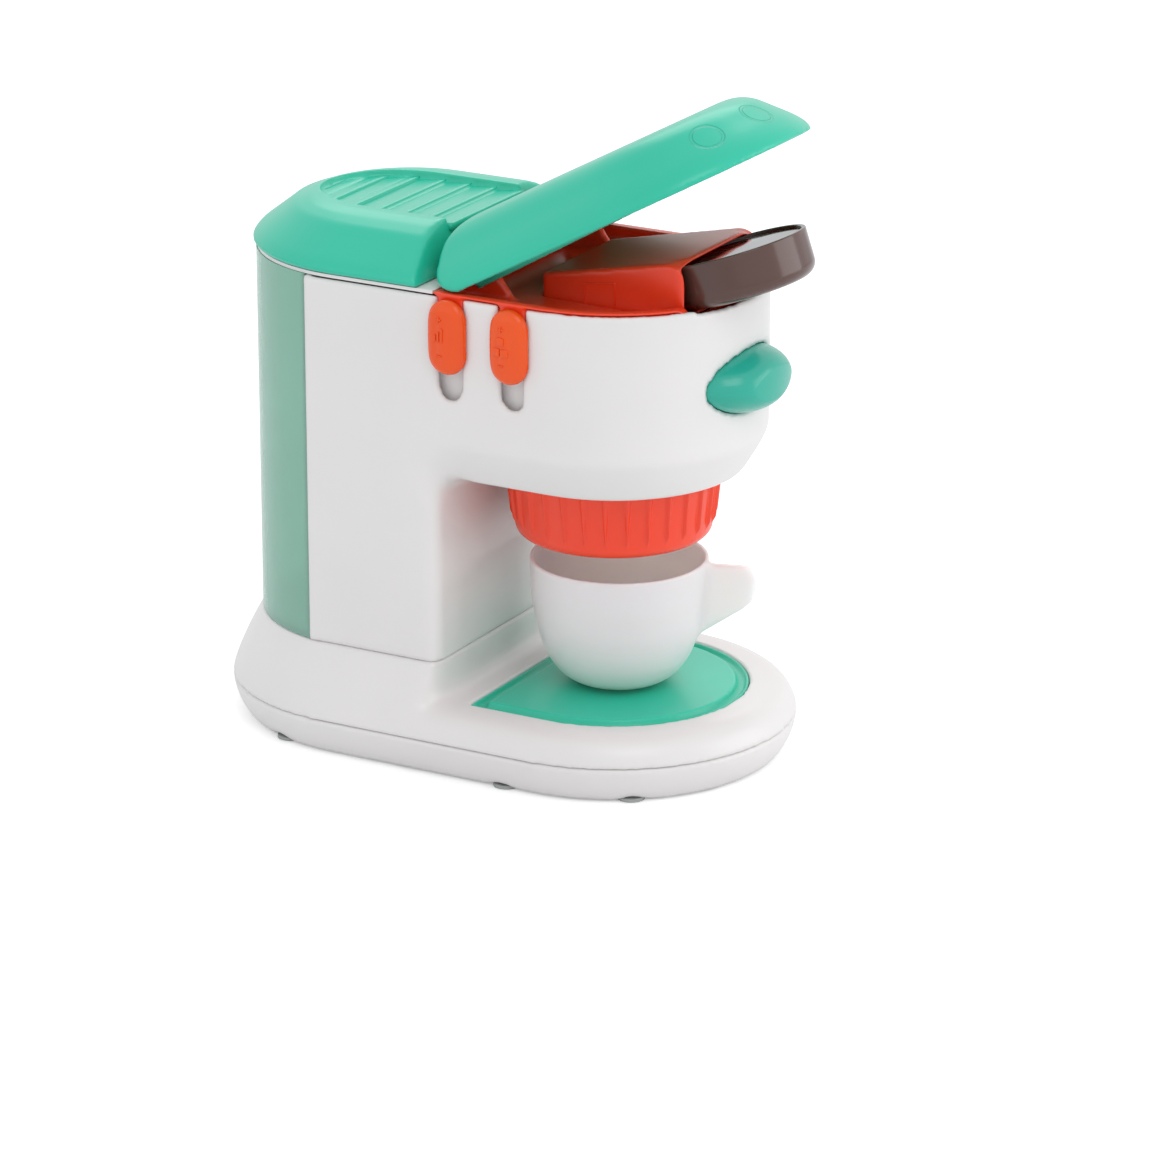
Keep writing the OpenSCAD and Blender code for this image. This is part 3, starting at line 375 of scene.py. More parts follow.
class Finish(Enum):
    """The finishes of the object, one or more for each material slot of the record."""

    # ABS from a finely polished mould: an even, satin white
    WHITE_ABS = MouldedPlastic("moulded_white_abs", "#E8E5E4", "#E4E1E0", 0.34, 0.08)
    # the same ABS in a thin wall, which lets light spread inside it
    CUP_ABS = MouldedPlastic(
        "moulded_thin_white_abs", "#EEECEB", "#EAE8E7", 0.34, 0.08, scatter=0.8, scatter_mm=6.0
    )
    # ABS coloured through, from a polished mould: broad soft highlights
    TEAL_ABS = MouldedPlastic("moulded_teal_abs", "#2CC5A6", "#29C0A1", 0.3, 0.06, 1.47)
    # the same teal ABS, with grip rings cut into the mould
    GRIP_ABS = MouldedPlastic(
        "moulded_teal_abs_with_grip", "#2CC5A6", "#29C0A1", 0.3, 0.06, 1.47, marks=grip_marks()
    )
    # the lever's teal ABS painted darker as shade on the button, and a little glossier from its better
    # polished mould
    SHADED_BUTTON_ABS = MouldedPlastic("teal_button_abs_with_painted_shade", "#27B09B", "#24AA95", 0.24, 0.2, 1.47)
    # orange ABS from a polished mould
    ORANGE_ABS = MouldedPlastic("moulded_orange_abs", "#F6421E", "#F23D1B", 0.27, 0.1, 1.5)
    # a yellower orange ABS, moulded apart from the housing
    KNOB_ABS = MouldedPlastic("moulded_orange_knob_abs", "#F25408", "#EE4F06", 0.24, 0.08, 1.45)
    # dark ABS from a high-gloss mould: clear reflections
    BROWN_ABS = MouldedPlastic("moulded_brown_abs", "#54362F", "#50332C", 0.2, 0.25)
    # a lid sealed flat and smooth, nearly a mirror at a low angle
    LID_FILM = MouldedPlastic("sealed_brown_lid", "#4A2F29", "#462C26", 0.06, 0.6)
    # polystyrene tinted in the mass: light passes, shapes behind it blur
    TANK = MouldedPlastic(
        "tinted_clear_polystyrene", "#B7E6D5", "#B1E1CF", 0.2, 0.2, 1.3, transmission=0.55
    )
    # moulded rubber of the feet: matt
    RUBBER = MouldedPlastic("soft_grey_rubber", "#A9ACAA", "#A2A5A3", 0.75, 0.0, 1.5)
    # screws, pin, clips and spring
    STEEL = ZincSteel()


SLOT_FINISH = {
    "white_abs": Finish.WHITE_ABS,
    "teal_abs": Finish.TEAL_ABS,
    "orange_abs": Finish.ORANGE_ABS,
    "orange_knob_abs": Finish.KNOB_ABS,
    "brown_abs": Finish.BROWN_ABS,
    "tank_polystyrene": Finish.TANK,
    "grey_rubber": Finish.RUBBER,
    "zinc_steel": Finish.STEEL,
    "spring_steel": Finish.STEEL,
}
NODE_FINISH = {
    "lever": Finish.GRIP_ABS,
    "cup": Finish.CUP_ABS,
    "pod_lid": Finish.LID_FILM,
    # the button wears the teal with painted shade, darker than the lever's
    "front_button": Finish.SHADED_BUTTON_ABS,
}


@dataclass
class Frame:
    """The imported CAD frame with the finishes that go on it.

    Attributes:
        nodes: the CAD objects by name.
        slots: each node's material slot.
        bodies: each node's body.
        made: the materials built so far.
    """

    nodes: dict[str, bpy.types.Object]
    slots: dict[str, str]
    bodies: dict[str, str]
    made: dict[Finish, bpy.types.Material] = field(default_factory=dict)

    @classmethod
    def read(cls, loaded: dict[str, Any]) -> "Frame":
        """Returns:
            The frame.
        """
        record = loaded["record"]
        slots = {part["node"]: part["material_slot"] for part in record["subparts"]}
        groups = record["behaviour"]["bodies"]
        return cls(loaded["nodes"], slots, {node: body for body, names in groups.items() for node in names})

    def finish_of(self, node: str) -> Finish:
        """Returns the finish that a node wears."""
        return NODE_FINISH.get(node, SLOT_FINISH.get(self.slots[node], Finish.WHITE_ABS))

    def material(self, finish: Finish) -> bpy.types.Material:
        """Returns the material of a finish, made on first use."""
        if finish not in self.made:
            self.made[finish] = finish.value.build()
        return self.made[finish]

    def dress(self) -> None:
        """Puts each CAD node's finish on it."""
        for name, obj in self.nodes.items():
            material = self.material(self.finish_of(name))
            if not obj.material_slots:
                obj.data.materials.append(material)
            for slot in obj.material_slots:
                slot.material = material
        LOG.info("dressed %d CAD nodes", len(self.nodes))

    def add(
        self, name: str, mesh: bpy.types.Mesh, node: str, stands_for: bool, finish: Optional[Finish] = None
    ) -> bpy.types.Object:
        """Adds a piece that rides with a CAD node's body.

        Args:
            name: the piece's name.
            mesh: its mesh, in metres.
            node: the node whose body it rides with and whose slot's finish it wears.
            stands_for: whether it is shown in place of that node.
            finish: its finish, where it isn't the node's own.

        Returns:
            The new object.
        """
        obj = bpy.data.objects.new(name, mesh)
        bpy.context.scene.collection.objects.link(obj)
        mesh.materials.clear()
        mesh.materials.append(self.material(finish or self.finish_of(node)))
        mesh.shade_smooth()
        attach(obj, self.bodies[node])
        if stands_for:
            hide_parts(node)
        LOG.info("%s: %d faces", name, len(mesh.polygons))
        return obj


# ------------------------------------------------------------------ meshes


def smooth_step(value: Array, low: float, high: float) -> Array:
    """Rises from 0 at low to 1 at high as 3t squared minus 2t cubed.

    Args:
        value: the values.
        low: where the rise starts.
        high: where it ends; below low, the step falls instead.

    Returns:
        A share for each value.
    """
    t = np.clip((value - low) / (high - low), 0, 1)
    return t * t * (3 - 2 * t)


def bent(value: Array, power: float) -> Array:
    """Raises a cosine or sine to a power and keeps its sign."""
    return np.sign(value) * np.abs(value) ** power


def read_points(mesh: bpy.types.Mesh) -> Array:
    """Reads a mesh's points.

    Args:
        mesh: the mesh, in metres.

    Returns:
        Rows of x, y and z in millimetres.
    """
    flat = np.empty(len(mesh.vertices) * 3, np.float32)
    mesh.vertices.foreach_get("co", flat)
    return flat.reshape(-1, 3).astype(float) / MM


def write_points(mesh: bpy.types.Mesh, points: Array) -> None:
    """Moves a mesh's points.

    Args:
        mesh: the mesh.
        points: rows of x, y and z in millimetres.
    """
    mesh.vertices.foreach_set("co", (points * MM).astype(np.float32).ravel())
    mesh.update()


def read_edges(mesh: bpy.types.Mesh) -> Array:
    """Reads a mesh's edges.

    Args:
        mesh: the mesh.

    Returns:
        Pairs of point numbers.
    """
    flat = np.empty(len(mesh.edges) * 2, np.int32)
    mesh.edges.foreach_get("vertices", flat)
    return flat.reshape(-1, 2)


def relax(points: Array, edges: Array, rounds: int, weight: Array, push: float = 0.0) -> Array:
    """Draws each point towards the mean of its neighbours.

    A round moves a point by half its distance to that mean, times its weight. With a push, a second
    move of that share goes the other way, which keeps the shape's size while it loses its ripple.

    Args:
        points: rows of x, y and z.
        edges: pairs of point numbers.
        rounds: how many rounds.
        weight: one share for each point.
        push: share of the way back, or 0.

    Returns:
        The moved points.
    """
    count = len(points)
    first, second = edges[:, 0], edges[:, 1]
    links = np.maximum(np.bincount(edges.ravel(), minlength=count), 1)
    pulls = [0.5, -push] if push else [0.5]
    out = points.copy()
    for _ in range(rounds):
        for pull in pulls:
            sums = [
                np.bincount(first, out[second, k], count) + np.bincount(second, out[first, k], count)
                for k in range(3)
            ]
            mean = np.stack(sums, 1) / links[:, None]
            out += pull * weight[:, None] * (mean - out)
    return out


def grid_mesh(
    name: str, grid: Array, round_rows: bool = False, round_columns: bool = True
) -> bpy.types.Mesh:
    """Makes a mesh from a grid of points.

    Args:
        name: the mesh's name.
        grid: points in millimetres, rows by columns by 3.
        round_rows: whether the last row joins the first.
        round_columns: whether the last column joins the first.

    Returns:
        A mesh whose open first and last rows are closed by one face each, with its faces outwards.
    """
    rows, columns = grid.shape[:2]
    i, j = np.meshgrid(
        np.arange(rows if round_rows else rows - 1),
        np.arange(columns if round_columns else columns - 1),
        indexing="ij",
    )
    i2, j2 = (i + 1) % rows, (j + 1) % columns
    corners = [i * columns + j, i * columns + j2, i2 * columns + j2, i2 * columns + j]
    faces = np.stack(corners, -1).reshape(-1, 4).tolist()
    if not round_rows and round_columns:
        faces.append(list(range(columns))[::-1])
        faces.append(list(range((rows - 1) * columns, rows * columns)))
    mesh = bpy.data.meshes.new(name)
    mesh.from_pydata((grid.reshape(-1, 3) * MM).tolist(), [], faces)
    work = bmesh.new()
    work.from_mesh(mesh)
    bmesh.ops.remove_doubles(work, verts=work.verts, dist=1e-7)
    if work.calc_volume(signed=True) < 0:
        bmesh.ops.reverse_faces(work, faces=work.faces)
    work.to_mesh(mesh)
    work.free()
    return mesh


@dataclass(frozen=True)
class Softening:
    """One rule of how a moulded copy is rounded.

    Attributes:
        rounds: how many rounds of relaxing.
        where: share for each point, from its place in millimetres; None is all of it.
        push: the way back that keeps the size, or 0 for a true fillet.
    """

    rounds: int
    where: Optional[Callable[[Array], Array]] = None
    push: float = 0.0


PUSH_BACK = 0.52  # a little more than the half step that a round goes forward
EVEN_OUT = Softening(12, None, PUSH_BACK)


@dataclass
class MouldedCopy:
    """A copy of a CAD node with the soft edges that a mould gives.

    The copy is merged and made an even net of points, and then each rule relaxes it, which rounds its
    edges and inner corners.

    Attributes:
        node: the CAD node's name.
        net_mm: size of the net's faces.
        rules: how it is rounded, one rule after the other.
        reshape: moves the points before the first rule.
        trim: moves them after the last one.
    """

    node: str
    net_mm: float
    rules: tuple[Softening, ...] = (EVEN_OUT, Softening(3))
    reshape: Optional[Callable[[Array], Array]] = None
    trim: Optional[Callable[[Array], Array]] = None

    def even_net(self, source: bpy.types.Object) -> bpy.types.Mesh:
        """Makes the even net.

        Args:
            source: the CAD node's object, which stays as it is.

        Returns:
            A closed mesh of near-square faces.
        """
        mesh = source.data.copy()
        work = bmesh.new()
        work.from_mesh(mesh)
        bmesh.ops.remove_doubles(work, verts=work.verts, dist=1e-6)
        work.to_mesh(mesh)
        work.free()
        shell = bpy.data.objects.new("net", mesh)
        bpy.context.scene.collection.objects.link(shell)
        net = shell.modifiers.new("net", "REMESH")
        net.mode = "VOXEL"
        net.voxel_size = self.net_mm * MM
        graph = bpy.context.evaluated_depsgraph_get()
        even = bpy.data.meshes.new_from_object(shell.evaluated_get(graph))
        bpy.data.objects.remove(shell)
        bpy.data.meshes.remove(mesh)
        return even

    def build(self, frame: Frame) -> bpy.types.Object:
        """Builds the copy and shows it in place of its node.

        Args:
            frame: the CAD frame.

        Returns:
            The new object.
        """
        mesh = self.even_net(frame.nodes[self.node])
        points, edges = read_points(mesh), read_edges(mesh)
        if self.reshape is not None:
            points = self.reshape(points)
        for rule in self.rules:
            weight = np.ones(len(points)) if rule.where is None else rule.where(points)
            points = relax(points, edges, rule.rounds, weight, rule.push)
        if self.trim is not None:
            points = self.trim(points)
        low, high = (np.array(corner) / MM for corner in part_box(self.node))
        points = np.clip(points, low, high)
        write_points(mesh, points)
        mesh.name = self.node + "_moulded"
        return frame.add(mesh.name, mesh, self.node, True)


# ------------------------------------------------------------------ sub-assemblies


def revolve(profile: Array, steps: int) -> Array:
    """Carries a half outline round the Z axis: x is r times cos a, y is r times sin a.

    Args:
        profile: rows of radius and height.
        steps: points round the circle.

    Returns:
        A grid of rows by steps by 3.
    """
    a = np.arange(steps) * 2 * np.pi / steps
    r, z = profile[:, 0, None], profile[:, 1, None]
    return np.stack([r * np.cos(a), r * np.sin(a), z + 0 * a], -1)


def arc(centre: tuple[float, float], radius: float, start: float, end: float, steps: int) -> Array:
    """Works out an arc: the centre plus the radius times cos a and sin a.

    Args:
        centre: its centre.
        radius: its radius.
        start: first angle, in degrees from the first axis.
        end: last angle.
        steps: how many points.

    Returns:
        Rows of two coordinates.
    """
    a = np.radians(np.linspace(start, end, steps))
    return np.stack([centre[0] + radius * np.cos(a), centre[1] + radius * np.sin(a)], -1)


def line(start: tuple[float, float], end: tuple[float, float], steps: int) -> Array:
    """Works out a straight line's points, without its last one."""
    return np.linspace(start, end, steps, endpoint=False)


@dataclass
class Base:
    """Two base shells with soft edges and the drip tray.

    Attributes:
        parting: height of the joint between the shells.
        plinth: height of the plinth's top.
        well_r: radius of the tray's well.
        well_back: where the well ends at the rear.
    """

    parting: float = 14.0
    plinth: float = 39.5
    well_r: float = 49.15
    well_back: float = -10.15

    def soft_upper(self, p: Array) -> Array:
        """Softens all but the joint's edge, the plinth's top rim and the tray's well.

        Args:
            p: the points.

        Returns:
            One share for each point.
        """
        across = np.hypot(p[:, 0], np.minimum(p[:, 1] - FRONT_AXIS_Y, 0))
        well = np.abs(np.maximum(across - self.well_r, p[:, 1] - self.well_back))
        edge = smooth_step(p[:, 2], self.parting + 0.6, self.parting + 4)
        return edge * smooth_step(p[:, 2], self.plinth - 0.3, self.plinth - 3) * smooth_step(well, 1.2, 4)

    def soft_lower(self, p: Array) -> Array:
        """Softens all but the joint's edge."""
        return smooth_step(p[:, 2], self.parting - 0.6, self.parting - 4)

    def build(self, frame: Frame) -> None:
        """Builds the shells and the tray.

        Args:
            frame: the CAD frame.
        """
        MouldedCopy("base_lower", 1.2, (EVEN_OUT, Softening(12, self.soft_lower), Softening(1))).build(frame)
        MouldedCopy("base_upper", 1.1, (EVEN_OUT, Softening(40, self.soft_upper), Softening(1))).build(frame)
        MouldedCopy("drip_tray", 0.7, (EVEN_OUT, Softening(5))).build(frame)


@dataclass
class Body:
    """Column and head, the orange deck and the louvred rear cover.

    Attributes:
        corner_z: height of the corner between the column and the head's underside.
        corner_reach: how far round that corner the softening fades out.
        head_top: height above which the head's edges stay crisp.
        floor_z: height of the head's underside.
        slope_h: height of the head's sloping lower edge.
        slope_d: depth of that edge.
        hole_z: height of the button hole's middle.
        hole_half: its half width.
        hole_rise: its half height.
        hole_bend: power that draws its ends to soft points.
        hole_snap: how near a point has to be to move onto its outline.
        hole_front: a point is looked at for the hole only where it lies further forward.
        sink: how deep the deck's front end sinks.
        sink_in: how far that end is drawn in.
        recess_r: half width of the louvred recess.
        recess_back: how far the recess reaches behind the rear axis.
        crest_z: height of the cover's crest.
        cover_z: height of the cover's lower edge.
    """

    corner_z: float = 107.5
    corner_reach: float = 12.0
    head_top: float = 124.0
    floor_z: float = 106.5
    slope_h: float = 15.5
    slope_d: float = 8.5
    hole_z: float = 145.4
    hole_half: float = 23.75
    hole_rise: float = 11.75
    hole_bend: float = 1.06
    hole_snap: float = 0.9
    hole_front: float = -80.0
    sink: float = 2.5
    sink_in: float = 1.5
    recess_r: float = 25.5
    recess_back: float = 33.5
    crest_z: float = 195.2
    cover_z: float = 177.5

    def soft_corner(self, p: Array) -> Array:
        """Softens the corner where the column meets the head."""
        away = np.hypot(p[:, 1], p[:, 2] - self.corner_z)
        return smooth_step(away, self.corner_reach, self.corner_reach / 3)

    def soft_underside(self, p: Array) -> Array:
        """Softens the head's sloping lower edge, and fades out above it, below it and at the column."""
        up = smooth_step(p[:, 2], self.floor_z - 6.5, self.floor_z - 2.5)
        return up * smooth_step(p[:, 2], self.head_top, self.head_top - 8) * smooth_step(p[:, 1], 6, -4)

    def shape(self, p: Array) -> Array:
        """Draws the lower edge in and trues up the button's hole."""
        return self.true_hole(self.draw_in(p))

    def true_hole(self, p: Array) -> Array:
        """Moves points near the button hole's outline onto it.

        The outline is x = half cos a and z = rise sin a, with the cosine and sine raised to the bend.

        Args:
            p: the points.

        Returns:
            The points with the hole's edge trued up.
        """
        x, z = p[:, 0], p[:, 2] - self.hole_z
        a = np.arctan2(z / self.hole_rise, x / self.hole_half)
        edge_x = self.hole_half * bent(np.cos(a), self.hole_bend)
        edge_z = self.hole_rise * bent(np.sin(a), self.hole_bend)
        near = (np.hypot(x - edge_x, z - edge_z) < self.hole_snap) & (p[:, 1] < self.hole_front)
        out = p.copy()
        out[near, 0] = edge_x[near]
        out[near, 2] = edge_z[near] + self.hole_z
        return out

    def near_button(self, p: Array) -> Array:
        """Evens out the edge of the button's hole."""
        return (p[:, 1] < self.hole_front + 2) & (np.abs(p[:, 2] - self.hole_z) < 15)

    def draw_in(self, p: Array) -> Array:
        """Flattens the head's lower edge towards a straight slope.

        With t from 0 at the underside to 1 at the flank, the side moves in by the edge's depth times
        (1 - t) to the power 1.2 less (1 - t) to the power 2.1.

        Args:
            p: the points.

        Returns:
            The moved points.
        """
        t = np.clip((p[:, 2] - self.floor_z) / self.slope_h, 0, 1)
        off = self.slope_d * ((1 - t) ** 1.2 - (1 - t) ** 2.1) * smooth_step(p[:, 1], 4, -12)
        back = np.minimum(p[:, 1] - FRONT_AXIS_Y, 0)
        far = np.maximum(np.hypot(p[:, 0], back), 1)
        share = off * smooth_step(far, 35, 45) / far
        out = p.copy()
        out[:, 0] -= p[:, 0] * share
        out[:, 1] -= back * share
        return out

    def soft_cover(self, p: Array) -> Array:
        """Softens the cover's outside, and the slats and lower edge far less.

        Args:
            p: the points.

        Returns:
            One share for each point.
        """
        back = np.minimum(REAR_AXIS_Y - p[:, 1], 0) * self.recess_r / self.recess_back
        inside = np.hypot(p[:, 0], back)
        recess = smooth_step(inside, self.recess_r + 0.4, self.recess_r + 3)
        low = smooth_step(p[:, 2], self.cover_z + 0.5, self.cover_z + 3.5)
        return 0.06 + 0.94 * recess * (0.15 + 0.85 * low)

    def lengthen_recess(self, p: Array) -> Array:
        """Lengthens the recess's round end to an ellipse.

        Behind the rear axis a point moves back by 8 mm times its sine about the axis, times its
        distance over the recess's radius within it, and by less further out, down to nothing 42 mm
        out. Its height stays under the cover's sloping side.

        Args:
            p: the points.

        Returns:
            The moved points.
        """
        back = np.maximum(p[:, 1] - REAR_AXIS_Y, 0)
        far = np.maximum(np.hypot(p[:, 0], back), 1e-6)
        fade_r = 42.0
        share = np.clip(np.minimum(far / self.recess_r, (fade_r - far) / (fade_r - self.recess_r)), 0, 1)
        upper = smooth_step(p[:, 2], self.crest_z - 5, self.crest_z - 3.8)
        out = p.copy()
        out[:, 1] += (self.recess_back - self.recess_r) * share * back / far * upper
        ring = np.hypot(out[:, 0], np.maximum(out[:, 1] - REAR_AXIS_Y, 0))
        roof = np.interp(ring, [30, 35, 41.2], [self.crest_z, self.crest_z - 0.9, self.crest_z - 3.2])
        out[:, 2] = np.where(back > 0, np.minimum(out[:, 2], roof), out[:, 2])
        return out

    def sink_front(self, p: Array) -> Array:
        """Sinks the deck's front end under the pod and draws it in, so that it lies behind the rim.

        Args:
            p: the points.

        Returns:
            The moved points.
        """
        low = smooth_step(-p[:, 1], 84.5, 88.5) * smooth_step(p[:, 2], 171, 173.5)
        back = np.minimum(p[:, 1] - FRONT_AXIS_Y, 0)
        far = np.maximum(np.hypot(p[:, 0], back), 1)
        out = p.copy()
        out[:, 0] -= self.sink_in * low * p[:, 0] / far
        out[:, 1] -= self.sink_in * low * back / far
        out[:, 2] -= self.sink * low
        return out

    def slats(self) -> bpy.types.Mesh:
        """Makes the slats: a saw-tooth carried back along the recess and cut to its round end.

        A slat's top falls from 1.5 mm at its front edge to 0.35 mm at its rear, where a short face
        rises to the next one. Each row of the grid is a closed loop, across the top and back below it.

        Returns:
            A closed mesh.
        """
        start, pitch, count, floor = 8.9, 10.6, 7, self.crest_z - 3.4
        tooth_y = np.array([0.0, 0.12, 0.4, 2.5, 5.3, 8.2, 10.3, 10.55])
        tooth_z = np.array([0.35, 1.3, 1.5, 1.28, 0.97, 0.65, 0.4, 0.35])
        y = (start + np.arange(count)[:, None] * pitch + tooth_y).ravel()
        z = floor + np.tile(tooth_z, count) + 0.05
        keep = y < REAR_AXIS_Y + self.recess_back - 1.2
        y, z = y[keep], z[keep]
        back = np.maximum(y - REAR_AXIS_Y, 0) / self.recess_back
        half = self.recess_r * np.sqrt(1 - back**2) + 0.3
        across = np.linspace(-1, 1, 25)
        top = np.stack([half[:, None] * across, y[:, None] + 0 * across, z[:, None] + 0 * across], -1)
        low = top[:, ::-1].copy()
        low[..., 2] = floor - 1.0
        return grid_mesh("cover_slats", np.concatenate([top, low], 1))

    def build(self, frame: Frame) -> None:
        """Builds the shell, the deck and the cover.

        Args:
            frame: the CAD frame.
        """
        MouldedCopy(
            "body_shell",
            1.2,
            (
                EVEN_OUT,
                Softening(40, self.near_button, PUSH_BACK),
                Softening(50, self.soft_corner),
                Softening(5, self.soft_underside),
                Softening(1),
            ),
            self.shape,
            self.true_hole,
        ).build(frame)
        MouldedCopy("top_deck", 0.75, (EVEN_OUT, Softening(5)), self.sink_front).build(frame)
        rules = (EVEN_OUT, Softening(16, self.soft_cover), Softening(1))
        MouldedCopy("rear_cover", 0.75, rules, self.lengthen_recess).build(frame)
        frame.add("cover_slats", self.slats(), "rear_cover", False)


@dataclass
class Lid:
    """The lever that closes the pod slot, shown at its open rest.

    Attributes:
        low_z: height of its lower rim when closed.
    """

    low_z: float = 177.75

    def soft(self, p: Array) -> Array:
        """Softens the lever above its lower rim, measured with the lever closed.

        Args:
            p: the points.

        Returns:
            One share for each point.
        """
        turn = math.radians(LEVER_OPEN)
        up = (p[:, 1] - PIN_Y) * math.sin(turn) + (p[:, 2] - PIN_Z) * math.cos(turn) + PIN_Z
        return 0.12 + 0.88 * smooth_step(up, self.low_z + 0.8, self.low_z + 4.5)

    def build(self, frame: Frame) -> None:
        """Builds the lever."""
        MouldedCopy("lever", 0.85, (EVEN_OUT, Softening(30, self.soft), Softening(1))).build(frame)


@dataclass
class PodSlot:
    """The orange housing with its relief, and the brown pod on its chute.

    Attributes:
        pod_r: radius of the pod.
        pod_h: height of the pod.
        pod_round: radius of its lower edge.
        rim: width of the rim round its lid.
        lid_t: thickness of the lid, which lies as deep below the rim.
        pod_y: place of the pod's axis at its foot.
        pod_z: height of that place.
        tilt: slope of the chute in degrees.
        corner_y: place of the axis that the cheeks' front corners are rounded about.
        corner_z: height of that axis.
        corner_r: radius of those corners, seen from the side.
    """

    pod_r: float = 25.47
    pod_h: float = 16.5
    pod_round: float = 5.0
    rim: float = 1.6
    lid_t: float = 0.8
    pod_y: float = -95.0
    pod_z: float = 176.8
    tilt: float = 19.0
    corner_y: float = -78.2
    corner_z: float = 184.3
    corner_r: float = 6.5

    def on_chute(self, grid: Array) -> Array:
        """Leans a grid back by the chute's slope and puts it in its place.

        Args:
            grid: points about the pod's own axis.

        Returns:
            The same grid in the frame.
        """
        t = math.radians(self.tilt)
        x, y, z = grid[..., 0], grid[..., 1], grid[..., 2]
        along = self.pod_y + y * math.cos(t) + z * math.sin(t)
        up = self.pod_z - y * math.sin(t) + z * math.cos(t)
        return np.stack([x, along, up], -1)

    def pod(self) -> bpy.types.Mesh:
        """Makes the pod: a half outline with a rounded foot and a rounded rim, carried round its axis.

        Returns:
            A closed mesh.
        """
        r, h, b, lip, hub = self.pod_r, self.pod_h, self.pod_round, 0.5, 0.4
        floor = h - 2 * self.lid_t
        outline = np.concatenate(
            [
                line((hub, 0), (r - b, 0), 10),
                arc((r - b, b), b, -90, 0, 14)[:-1],
                line((r, b), (r, h - lip), 12),
                arc((r - lip, h - lip), lip, 0, 90, 6),
                arc((r - self.rim + lip, h - lip), lip, 90, 180, 6),
                line((r - self.rim, h - lip - 0.1), (r - self.rim, floor), 3),
                line((r - self.rim, floor), (hub, floor), 8),
            ]
        )
        return grid_mesh("pod_shell", self.on_chute(revolve(outline, 128)))

    def lid(self) -> bpy.types.Mesh:
        """Makes the sealed lid: a disc whose top rises and falls by a few hundredths of a millimetre.

        Returns:
            A closed mesh.
        """
        gap, seat, fall, edge, hub = 0.15, 0.02, 0.25, 0.5, 0.4
        r = self.pod_r - self.rim - gap
        low = self.pod_h - 2 * self.lid_t + seat
        share = np.linspace(0.02, 1, 24)[::-1]
        top = np.stack([r * share, low + self.lid_t - fall * share**2], -1)
        outline = np.concatenate([line((hub, low), (r, low), 6), line((r, low), (r, low + edge), 2), top])
        grid = revolve(outline, 96)
        wave = 0.04 * np.sin(grid[..., 0] / 4.1 + 0.6) * np.cos(grid[..., 1] / 5.3)
        grid[8:, :, 2] += wave[8:]
        return grid_mesh("pod_film", self.on_chute(grid))

    def relief(self) -> bpy.types.Mesh:
        """Makes the thin frame on the near cheek: a round bead carried along three sides of a rectangle.

        Returns:
            A closed mesh.
        """
        path = np.array(
            [(-26.0, -44.6, 171.3), (-26.0, -44.6, 179.2), (-26.7, -56.8, 181.1), (-26.7, -56.8, 173.2)]
        )
        runs = [np.linspace(path[k], path[k + 1], 12, endpoint=k == 2) for k in range(3)]
        centre = np.concatenate(runs)
        along = np.gradient(centre, axis=0)
        along /= np.linalg.norm(along, axis=1)[:, None]
        out = np.array([-1.0, -0.0574, 0.0])
        side = np.cross(along, out)
        a = np.arange(8) * 2 * np.pi / 8
        bead = 0.32
        reach = bead * np.cos(a)[None, :, None] * side[:, None, :] + bead * np.sin(a)[None, :, None] * out
        return grid_mesh("cheek_relief", centre[:, None, :] + reach)

    def round_corners(self, p: Array) -> Array:
        """Rounds the cheeks' upper front corners: points past an arc, seen from the side, move in to it.

        Args:
            p: the points.

        Returns:
            The moved points; the roof's middle stays as it is.
        """
        back, up = p[:, 1] - self.corner_y, p[:, 2] - self.corner_z
        far = np.maximum(np.hypot(back, up), 1e-6)
        past = (back < 0) & (up > 0) & (far > self.corner_r)
        move = np.where(past, self.corner_r / far - 1, 0) * smooth_step(np.abs(p[:, 0]), 19, 25)
        out = p.copy()
        out[:, 1] += back * move
        out[:, 2] += up * move
        return out

    def soft(self, p: Array) -> Array:
        """Softens the cheeks' front edges most."""
        return 0.15 + 0.85 * smooth_step(p[:, 1], -78, -83)

    def build(self, frame: Frame) -> None:
        """Builds the housing, the pod and its lid.

        Args:
            frame: the CAD frame.
        """
        rules = (EVEN_OUT, Softening(24, self.soft), Softening(3))
        MouldedCopy("pod_slot", 0.7, rules, self.round_corners).build(frame)
        frame.add("cheek_relief", self.relief(), "pod_slot", False)
        frame.add("pod_shell", self.pod(), "pod", True)
        frame.add("pod_film", self.lid(), "pod_lid", True)


# raised signs: the place of each bar from the knob's middle, back and up, then its half width and half height
PLUS = (((1.7, 6.9), (1.15, 0.3)), ((1.7, 6.9), (0.3, 1.15)))
MINUS = ((1.7, -6.2), (1.15, 0.3))
RISING_BARS = (((3.3, 0.2), (0.5, 1.2)), ((1.8, 0.8), (0.5, 1.9)), ((0.3, 1.4), (0.5, 2.6)))
SQUARES = (((1.7, 2.6), (1.5, 1.5)), ((3.4, -1.4), (1.5, 1.5)), ((0.0, -1.4), (1.5, 1.5)))
KNOB_SIGNS = {"strength_slider": (*PLUS, *RISING_BARS, MINUS), "sugar_slider": (*PLUS, *SQUARES, MINUS)}


